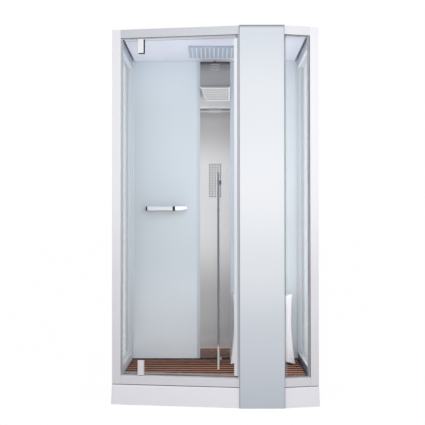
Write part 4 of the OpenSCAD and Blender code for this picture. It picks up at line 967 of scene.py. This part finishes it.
def shelf_run(x0, x1, lift=0.0):
    """The shelf's section, a rounded box, carried along X. Its lower edge rises by lift t^2 on the way, and
    the rings at both ends are drawn in."""
    _, _, y0, y1, z0, z1 = SHELF
    t = np.linspace(0, 1, SHELF_STEPS + 1)
    ends = np.minimum(1, np.minimum(t, 1 - t) * 40)
    y, z = outline(rectangle(y0, y1, z0, z1), 3.0).T
    low = (z1 - z) / (z1 - z0)
    drawn = SHELF_EDGE * (1 - ends)[:, None]
    zs = z[None] + lift * t[:, None] ** 2 * low[None]
    ys = y[None] + drawn * np.sign((y0 + y1) / 2 - y)[None]
    xs = np.broadcast_to((x0 + (x1 - x0) * t)[:, None], ys.shape)
    return skin(np.stack([xs, ys, zs], -1))


shelf_cuts = [SHELF[0], -440, -275, -259, SHELF[1]]
end_collar, chromed, dark_reflection_band, upswept = zip(shelf_cuts, shelf_cuts[1:])
piece("wall_shelf", [shelf_run(*chromed)], satin_chrome, name="shelf_bar")
# The end collar is black rubber; the middle band is a painted reflection in the chrome.
piece("wall_shelf", [shelf_run(*end_collar), shelf_run(*dark_reflection_band)], black_rubber_shade_and_reflection, name="shelf_collar_and_dark_reflection")
piece("wall_shelf", [shelf_run(*upswept, lift=10)], acrylic, name="shelf_end")

# %% [markdown]
# ## The door's fittings
# The door hangs on two pivot clamps. Each is a rounded block that grips the glass, with a pin on its outer
# end, and the upper one shows the edge of its black pad. The free edge wears a profile for the magnets, and
# the bar is a rod with a sleeve near its top, held by two stand-offs that go through the glass.

# %% Clamps and closing profile
PIVOT_U, PIVOT_V = 168, 20
UPRIGHT, THROUGH_WALL = (0, 0, 1), (0, 1, 0)
clamps = []
for z0, pin_foot in ((168.5, 150), (2032.5, 2114)):
    clamps.append(on_left(block(150, 186, 7, 33, z0, z0 + 85, edge=2.5, corner=4.0)))
    clamps.append(on_left(lathe(turned(22, 6.0, 1.0), (PIVOT_U, PIVOT_V, pin_foot), UPRIGHT)))
piece("pivot_clamps", clamps, powder_coat)
pad = on_left(block(154, 188.6, 8.5, 31.5, 2030, 2112, edge=0.6, corner=2.0))
piece("pivot_clamps", [pad], black_rubber_shade_and_reflection, name="clamp_pads")
closing = on_left(block(712.5, 733.5, 8, 32, *span("closing_profile")[4:], edge=1.0, corner=3.0))
piece("closing_profile", [closing], light_shade_coat)

# %% Door bar
BAR_U, BAR_V, BAR_RADIUS = 628, -25, 6.0
bar_foot, bar_top = span("door_bar")[4:]
bar_length = bar_top - bar_foot
end_arc = [(1.5 * (1 - math.cos(t)), BAR_RADIUS - 1.5 * (1 - math.sin(t))) for t in (0, 0.8, 1.57)]
sleeve = [(897, BAR_RADIUS), (897.4, 7.2), (910.6, 7.2), (911, BAR_RADIUS)]
other_end = [(bar_length - s, r) for s, r in reversed(end_arc)]
rod = [(0, 0.0)] + end_arc + sleeve + other_end + [(bar_length, 0.0)]
handle = [on_left(lathe(rod, (BAR_U, BAR_V, bar_foot), UPRIGHT))]
# a stand-off's pin, and the discs on both sides of the glass: length, radius, rounding, start in v and facets
stand_off = ((41, 5.0, 0.5, BAR_V, 24), (4, 11.0, 1.0, 12, 32), (4, 11.0, 1.0, 24, 32))
for z in (274, 1276):
    for length, radius, edge, v, segments in stand_off:
        handle.append(on_left(lathe(turned(length, radius, edge), (BAR_U, v, z), THROUGH_WALL, segments)))
piece("door_bar", handle, satin_steel)

# %% Screws, bushes and seals of the door
screw_profile = [(0, 0), (0, 3), (22.2, 3), (23, 2.4), (23, 1.8), (21, 1.6), (21, 0)]
screw = on_left(lathe(screw_profile, (0, 10, 0), THROUGH_WALL, 24))
u_step = np.append(LEFT, 0.0)
screw_places = [u * u_step + (0, 0, z) for u in (159, 177) for z in (228.5, 2057.5)]
piece("clamp_screws", [repeat(screw, screw_places)], zinc)
bush = [(-20, 0), (-20, 9.4), (-19.4, 10), (0, 10), (0, 13.6), (0.4, 14), (1.1, 14), (1.5, 13.6), (1.5, 6.6),
        (0.9, 6.05), (-16.2, 6.05), (-16.2, 0)]
bushes = [on_left(lathe(bush, (PIVOT_U, PIVOT_V, z), (0, 0, up), 48)) for z, up in ((166, 1), (2120, -1))]
piece("pivot_bushes", bushes, brass)
softened("door_seals", vinyl, 0.5)

# %% [markdown]
# ## Gaskets and seals of the frame
# Each fixed pane sits in a vinyl frame with mitred corners. It is a loop of four rings, one at each corner,
# whose section is a rectangle. Two upright strips seal the rear corners. Thin black seals run under the
# headers, along the sills' inner edges and beside the fixed pane. They are what draws the dark hairlines
# round both openings.

# %% Gaskets round the fixed panes
def ring_frame(x, y, z, width):
    """A mitred frame: a rectangle as the section at each of the four corners, closed by the loop of rings."""
    rings = []
    for side_y, side_z in ((0, 0), (1, 0), (1, 1), (0, 1)):
        dy, dz = width * (1 - 2 * side_y), width * (1 - 2 * side_z)
        section = ((0, 0), (1, 0), (1, 1), (0, 1))
        rings.append([(x[i], y[side_y] + dy * j, z[side_z] + dz * j) for i, j in section])
    return skin(np.array(rings, float), loop=True)


rail_top, rail_foot = span("left_bottom_rail")[5], span("left_top_rail")[4]
rear_post_front = span("rear_left_post")[2]
gaskets = []
for x, front in ((-570, Q[1]), (570, S[1])):
    gaskets.append(ring_frame((x - 8, x + 8), (front, rear_post_front), (rail_top, rail_foot), 13))
for x in (-545, 534):
    gaskets.append(block(x, x + 11, WALL - 1, WALL + 6, *span("back_panel_left")[4:], edge=0.6, corner=0.6))
piece("glass_gaskets", gaskets, milky_vinyl)
round_pane, faces = ring_frame((17, 33), (12.5, 151.5), span("front_fixed_glass")[4:], 8)
front_gasket = round_pane[:, [1, 0, 2]], [face[::-1] for face in faces]
piece("glass_gaskets", [on_right(front_gasket)], vinyl, name="front_gasket")

# %% Black seals at the front edges of both openings
SILL_TOP, HEADER_FOOT = span("front_left_sill")[5], span("front_left_header")[4]
seals = []
for place, u0, u1 in ((on_left, 50, 741), (on_right, 3, 154.4)):
    seals.append(place(block(u0, u1, 1, 4, HEADER_FOOT - 1.8, HEADER_FOOT, edge=0.5, corner=0.5)))
    seals.append(place(block(u0 + 6, u1 - 8, 45, 49, SILL_TOP, SILL_TOP + 1.8, edge=0.5, corner=0.5)))
seals.append(on_right(block(152, 154.5, 1, 4, SILL_TOP, HEADER_FOOT, edge=0.5, corner=0.5)))
piece("glass_gaskets", seals, black_rubber_shade_and_reflection, name="black_seals")

# %% [markdown]
# ## Mixer and knobs
# The thermostatic mixer is a turned chrome tube across the wall, on three tails with roses. A rose is a
# domed disc that hides the hole in the panel. Each knob is a sleeve with 36 flutes for a wet hand and a
# small wing on top that shows how far it is turned.

# %% Mixer
MIXER_X, MIXER_Y, MIXER_Z = MIXER = (300.5, 370.0, 1050.0)
half_tube = [
    (-107, 0), (-107, 7.2), (-106.2, 8), (-95, 8), (-95, 19.5), (-93.5, 21), (-82, 21), (-81.4, 20.4),
    (-80, 20.4), (-79.4, 21)]
tube = half_tube + [(-s, r) for s, r in reversed(half_tube)]
tail = [(0, 0), (0, 9.4), (58, 9.4), (58, 10.4), (77, 10.4), (78, 9.6), (78, 0)]
rose = [(0, 0), (0, 28), (2.2, 28), (4.5, 27), (6.8, 23), (8, 16), (8, 0)]
shells = [lathe(tube, MIXER, (1, 0, 0), 64)]
for x in (MIXER_X - 75, MIXER_X, MIXER_X + 75):
    shells.append(lathe(tail, (x, MIXER_Y, MIXER_Z), (0, 1, 0), 40))
    shells.append(lathe(rose, (x, WALL, MIXER_Z), (0, -1, 0), 48))
piece("mixer_body", shells, chrome, smooth=40)


# %% Knobs
def knob(side):
    """Rings about X: a flute pulls the radius in by depth (1 + cos 36 f) / 2. The bore is at the start, and
    the end is dished."""
    profile = [
        (12, 0, 0), (12, 8.08, 0), (0.6, 8.08, 0), (0, 8.7, 0), (0, 19.8, 0), (0.8, 20.8, 0), (2.5, 21, 0),
        (4, 21, 0), (5, 21, 0.9), (29, 21, 0.9), (30, 21, 0), (36.4, 21, 0), (37.6, 20.3, 0), (38, 19.2, 0),
        (37.5, 17, 0), (37, 0, 0)]
    s, r, depth = np.array(profile, float).T
    f = np.linspace(0, 2 * math.pi, 288, endpoint=False)
    radius = np.maximum(r[:, None] - depth[:, None] * (1 + np.cos(36 * f)) / 2, 0.01)
    x = np.broadcast_to(MIXER_X + side * (96 + s)[:, None], radius.shape)
    return skin(np.stack([x, MIXER_Y + radius * np.cos(f), MIXER_Z + radius * np.sin(f)], -1))


for node, side in (("temperature_knob", 1), ("flow_knob", -1)):
    x = MIXER_X + side * 115
    wing = block(
        x - 11.4, x + 11.4, MIXER_Y - 4.5, MIXER_Y + 4.5, MIXER_Z + 16.5, MIXER_Z + 25.5, edge=2, corner=2)
    piece(node, [knob(side), wing], chrome, smooth=40)

# %% [markdown]
# ## Keypad and steam outlet
# On the column's cabin side are the keypad, with two dished chrome buttons that slide in its plate, and low
# down the hood that the steam comes out of, open at the bottom so that it turns the steam away from a
# sitting person. The buttons are turned, and the plate and the hood are the CAD solids with soft edges.

# %% Keypad, buttons and outlet
softened("keypad_bezel", white_abs, 1.5, 3)
button = [(0, 0), (0, 9), (7.2, 9), (8.2, 8.5), (8.5, 7.6), (8.3, 6.4), (7.7, 4), (7.5, 0)]
for node, z in (("power_button", 1272), ("steam_button", 1228)):
    piece(node, [lathe(button, (268.5, -333, z), (0, 1, 0), 48)], chrome, smooth=40)
softened("steam_outlet", chrome, 1.5, 3)

# %% [markdown]
# ## Pipes behind the wall
# Brass pipe is bent, not cut, at a corner. A ring is carried along a path whose corners are parabolas: from
# p on one side to q on the other, the point is (1 - t)^2 p + 2 t (1 - t) corner + t^2 q.

# %% Pipes
def pipe(path, radius, bend=22.0):
    """A ring about each point of the path, in two directions across its tangent."""
    path = np.asarray(path, float)
    t = np.linspace(0, 1, 9)[:, None]
    points = [path[:1]]
    for before, corner, after in zip(path, path[1:], path[2:]):
        p = corner + bend * (before - corner) / np.linalg.norm(before - corner)
        q = corner + bend * (after - corner) / np.linalg.norm(after - corner)
        points.append((1 - t) ** 2 * p + 2 * t * (1 - t) * corner + t ** 2 * q)
    points = np.concatenate(points + [path[-1:]])
    along = np.gradient(points, axis=0)
    along /= np.linalg.norm(along, axis=1, keepdims=True)
    across = np.cross(along, (0.48, 0.64, 0.6))
    across /= np.linalg.norm(across, axis=1, keepdims=True)
    other = np.cross(along, across)
    f = np.linspace(0, 2 * math.pi, 24, endpoint=False)[None, :, None]
    return skin(points[:, None] + radius * (np.cos(f) * across[:, None] + np.sin(f) * other[:, None]))


RISER_X, RISER_Y, RISER_RADIUS = STRIP_MIDDLE, 433, 7
mixer_run = [
    (MIXER_X, RISER_Y, 1039.5), (MIXER_X, RISER_Y, 990), (RISER_X, RISER_Y, 990), (RISER_X, RISER_Y, 1219.5)]
rain_run = [(RISER_X, RISER_Y, 2107.5), (RISER_X, RISER_Y, 2145), (RISER_X, 82, 2145), (RISER_X, 82, 2124)]
runs = [
    pipe(mixer_run, RISER_RADIUS),
    pipe([(RISER_X, RISER_Y, 1442.5), (RISER_X, RISER_Y, 1776)], RISER_RADIUS),
    pipe([(RISER_X, RISER_Y, 1836), (RISER_X, RISER_Y, 2060.5)], RISER_RADIUS),
    pipe([(RISER_X, WALL, 1906.5), (RISER_X, RISER_Y, 1906.5)], 3.8),
    pipe(rain_run, RISER_RADIUS, bend=14)]
nut = [(0, 0), (0, 9), (1, 9.8), (11, 9.8), (12, 9), (12, 0)]
nuts = [lathe(nut, (RISER_X, RISER_Y, z), (0, 0, 1), 6) for z in (1205, 1445, 1762, 1838, 2046)]
piece("supply_pipes", runs + nuts, brass, smooth=50)

# %% [markdown]
# ## The stool
# The stool is moulded in one piece: wide feet, a waist and a dipped seat, with sides that are drawn in
# between the corners. Its half width over its height t is two parabolas that meet at the waist, t = 0.62.

# %% Stool
x0, x1, y0, y1, STOOL_FOOT, STOOL_TOP = span("stool")
STOOL_X, STOOL_Y, STOOL_HEIGHT = (x0 + x1) / 2, (y0 + y1) / 2, STOOL_TOP - STOOL_FOOT
HALF_FOOT, HALF_WAIST, HALF_SEAT, HALF_DEPTH = (x1 - x0) / 2, 184, 192, (y1 - y0) / 2
WAIST = 0.62
FOOT_ARCH, SEAT_DIP, SIDE_DIP = 30, 24, 0.07


def half_width(t):
    """From the feet to the waist and on to the seat, each a parabola with its middle at the waist."""
    lower = HALF_WAIST + (HALF_FOOT - HALF_WAIST) * ((WAIST - t) / WAIST) ** 2
    upper = HALF_WAIST + (HALF_SEAT - HALF_WAIST) * ((t - WAIST) / (1 - WAIST)) ** 2
    return np.where(t < WAIST, lower, upper)


def stool_rings(levels, side_points=24, soften=2):
    """Ring points s along each side, drawn in by dip (1 - s^2), at heights t, with seat share k and wall w.
    With q = x / half width, z = (1 - t) arch (1 - q^2) + t (height - dip (1 - q^2)) - drop."""
    s = 2 * np.arange(side_points) / side_points - 1
    d = 1 - SIDE_DIP * (1 - s ** 2)
    ring = np.concatenate([np.c_[s, -d], np.c_[d, s], np.c_[-s, d], np.c_[-d, -s]])
    ring = sum(np.roll(ring, shift, 0) for shift in range(-soften, soften + 1)) / (2 * soften + 1)
    t, k, w, drop = (np.array(v, float)[:, None] for v in zip(*levels))
    half = half_width(t)
    depth = HALF_DEPTH * half / HALF_FOOT
    x, y = ring[:, 0] * (half - w) * k, ring[:, 1] * (depth - w) * k
    q = x / half
    z = (1 - t) * FOOT_ARCH * (1 - q ** 2) + t * (STOOL_HEIGHT - SEAT_DIP * (1 - q ** 2)) - drop
    return np.stack([x + STOOL_X, y + STOOL_Y, z + STOOL_FOOT], -1)


SEAT_EDGE, STOOL_WALL = 7.0, 6
roll = np.linspace(0, math.pi / 2, 5)
seat_shares = (0.9, 0.75, 0.55, 0.3, 0.02)
outside = [(t, 1, 0, 0) for t in np.linspace(0, 1, 25)[:-1]]
outside += [(1, 1, SEAT_EDGE * (1 - math.cos(a)), SEAT_EDGE * (1 - math.sin(a))) for a in roll]
outside += [(1, k, SEAT_EDGE, 0) for k in seat_shares]
inside = [(1, k, SEAT_EDGE, STOOL_WALL) for k in reversed(seat_shares)]
inside += [(t, 1, STOOL_WALL, 0) for t in np.linspace(0.985, 0, 20)]
piece("stool", [skin(stool_rings(outside[::-1] + inside[::-1]))], acrylic, smooth=60)

# %% [markdown]
# ## What is hidden, and the steel panel
# What nobody sees at first, such as the sub-frame, the feet and the waste, has the right shape in the CAD
# model, so its copies only get soft edges and a finish. The steel panel keeps its CAD mesh, which has every
# hole of the jets: a Bevel round so many small holes would cost far more than it shows.

# %% Copies of the hidden nodes, and the steel's finish
for node, material, width in (
        ("rear_top_rail", powder_coat, 1.5), ("tray_frame", zinc, 1.5), ("levelling_feet", rubber, 1.0),
        ("waste_trap", white_abs, 0.8), ("waste_grate", chrome, 0.6), ("cable_gland", rubber, 0.8),
        ("steam_generator", zinc, 2.0), ("control_unit", grey_abs, 2.0)):
    softened(node, material, width)
steel_sheet = frame["nodes"]["shower_panel"].data
steel_sheet.materials.clear()
steel_sheet.materials.append(brushed_steel)
print("the steel panel has", len(steel_sheet.polygons), "faces")

# %% [markdown]
# ## Floor, world and lamps
# The picture has a pure white ground. The world gives an even light, and rays from the camera, from gloss
# and through glass see it as plain white. The floor does the same, but keeps a share of its own lit
# surface, so that the cabin's soft shadow stays on it.

# %% Floor
def sees_backdrop(tree):
    """1 for rays from the camera, from gloss and through glass, and 0 for the others."""
    ray = add(tree, "LightPath").outputs
    seen = add(tree, "Math", {0: ray["Is Camera Ray"], 1: ray["Is Glossy Ray"]}, operation="MAXIMUM")
    seen = add(tree, "Math", {0: seen.outputs[0], 1: ray["Is Transmission Ray"]}, operation="MAXIMUM")
    return seen.outputs[0]


FLOOR_REACH, FLOOR_HEIGHT = 900.0, -0.0005
WHITE_SHARE, WHITE_STRENGTH = 0.85, 1.11
ground = bpy.data.materials.new("white studio floor")
ground.use_nodes = True
tree = ground.node_tree
tree.nodes.clear()
seen = sees_backdrop(tree)
lit = add(tree, "BsdfDiffuse", {"Color": (0.45, 0.45, 0.46, 1)})
glow = add(tree, "Emission", {"Color": (1, 1, 1, 1), "Strength": WHITE_STRENGTH})
shown = add(tree, "MixShader", {0: WHITE_SHARE, 1: lit.outputs[0], 2: glow.outputs[0]})
both = add(tree, "MixShader", {0: seen, 1: lit.outputs[0], 2: shown.outputs[0]})
add(tree, "OutputMaterial", {"Surface": both.outputs[0]})
corners = [(x, y, FLOOR_HEIGHT) for x, y in rectangle(-FLOOR_REACH, FLOOR_REACH, -FLOOR_REACH, FLOOR_REACH)]
floor_mesh = bpy.data.meshes.new("floor")
floor_mesh.from_pydata(corners, [], [(0, 1, 2, 3)])
floor_mesh.materials.append(ground)
floor = bpy.data.objects.new("floor", floor_mesh)
bpy.context.scene.collection.objects.link(floor)
print("the floor reaches", FLOOR_REACH, "m each way")

# %% World
WORLD_LIGHT = 0.8
world = bpy.data.worlds.new("studio")
bpy.context.scene.world = world
world.use_nodes = True
tree = world.node_tree
tree.nodes.clear()
seen = sees_backdrop(tree)
light = add(tree, "Background", {"Color": (0.95, 0.97, 1.0, 1), "Strength": WORLD_LIGHT})
white = add(tree, "Background", {"Color": (1, 1, 1, 1), "Strength": 1.0})
both = add(tree, "MixShader", {0: seen, 1: light.outputs[0], 2: white.outputs[0]})
add(tree, "OutputWorld", {"Surface": both.outputs[0]})
print("the world lights the cabin at", WORLD_LIGHT)

# %% [markdown]
# ## The lamps
# One large soft box stands in front. The world's light hardly gets past the column and under the roof, so
# three weak panels of light hang inside the openings: in the doorway, beside the column, and below the
# ceiling.

# %% Lamps
def lamp(name, place, aim, size, watts, spread=180):
    """A soft box of a width and a height at a place, facing a point, with a beam so many degrees wide.
    Gloss and glass don't mirror it."""
    data = bpy.data.lights.new(name, "AREA")
    data.shape, data.energy = "RECTANGLE", watts
    data.size, data.size_y = size
    data.spread = math.radians(spread)
    made = bpy.data.objects.new(name, data)
    bpy.context.scene.collection.objects.link(made)
    made.location = place
    made.rotation_euler = (Vector(aim) - Vector(place)).to_track_quat("-Z", "Y").to_euler()
    made.visible_camera = made.visible_glossy = made.visible_transmission = False
    print(f"{name}: {watts} W")


lamp("front soft box", (0.3, -2.4, 1.75), (0.15, 0, 1.6), (1.4, 1.4), 25)
lamp("doorway", (0.05, -0.29, 1.2), (0.05, 0.5, 1.2), (0.9, 1.8), 2.3)
lamp("beside the column", (0.46, -0.28, 1.0), (0.46, 0.42, 1.0), (0.14, 1.6), 1.4)
lamp("ceiling wash", (0.1, -0.1, 0.4), (0.1, 0.0, 2.1), (0.9, 0.4), 1.6, spread=70)
bpy.context.scene.view_settings.view_transform = "Standard"
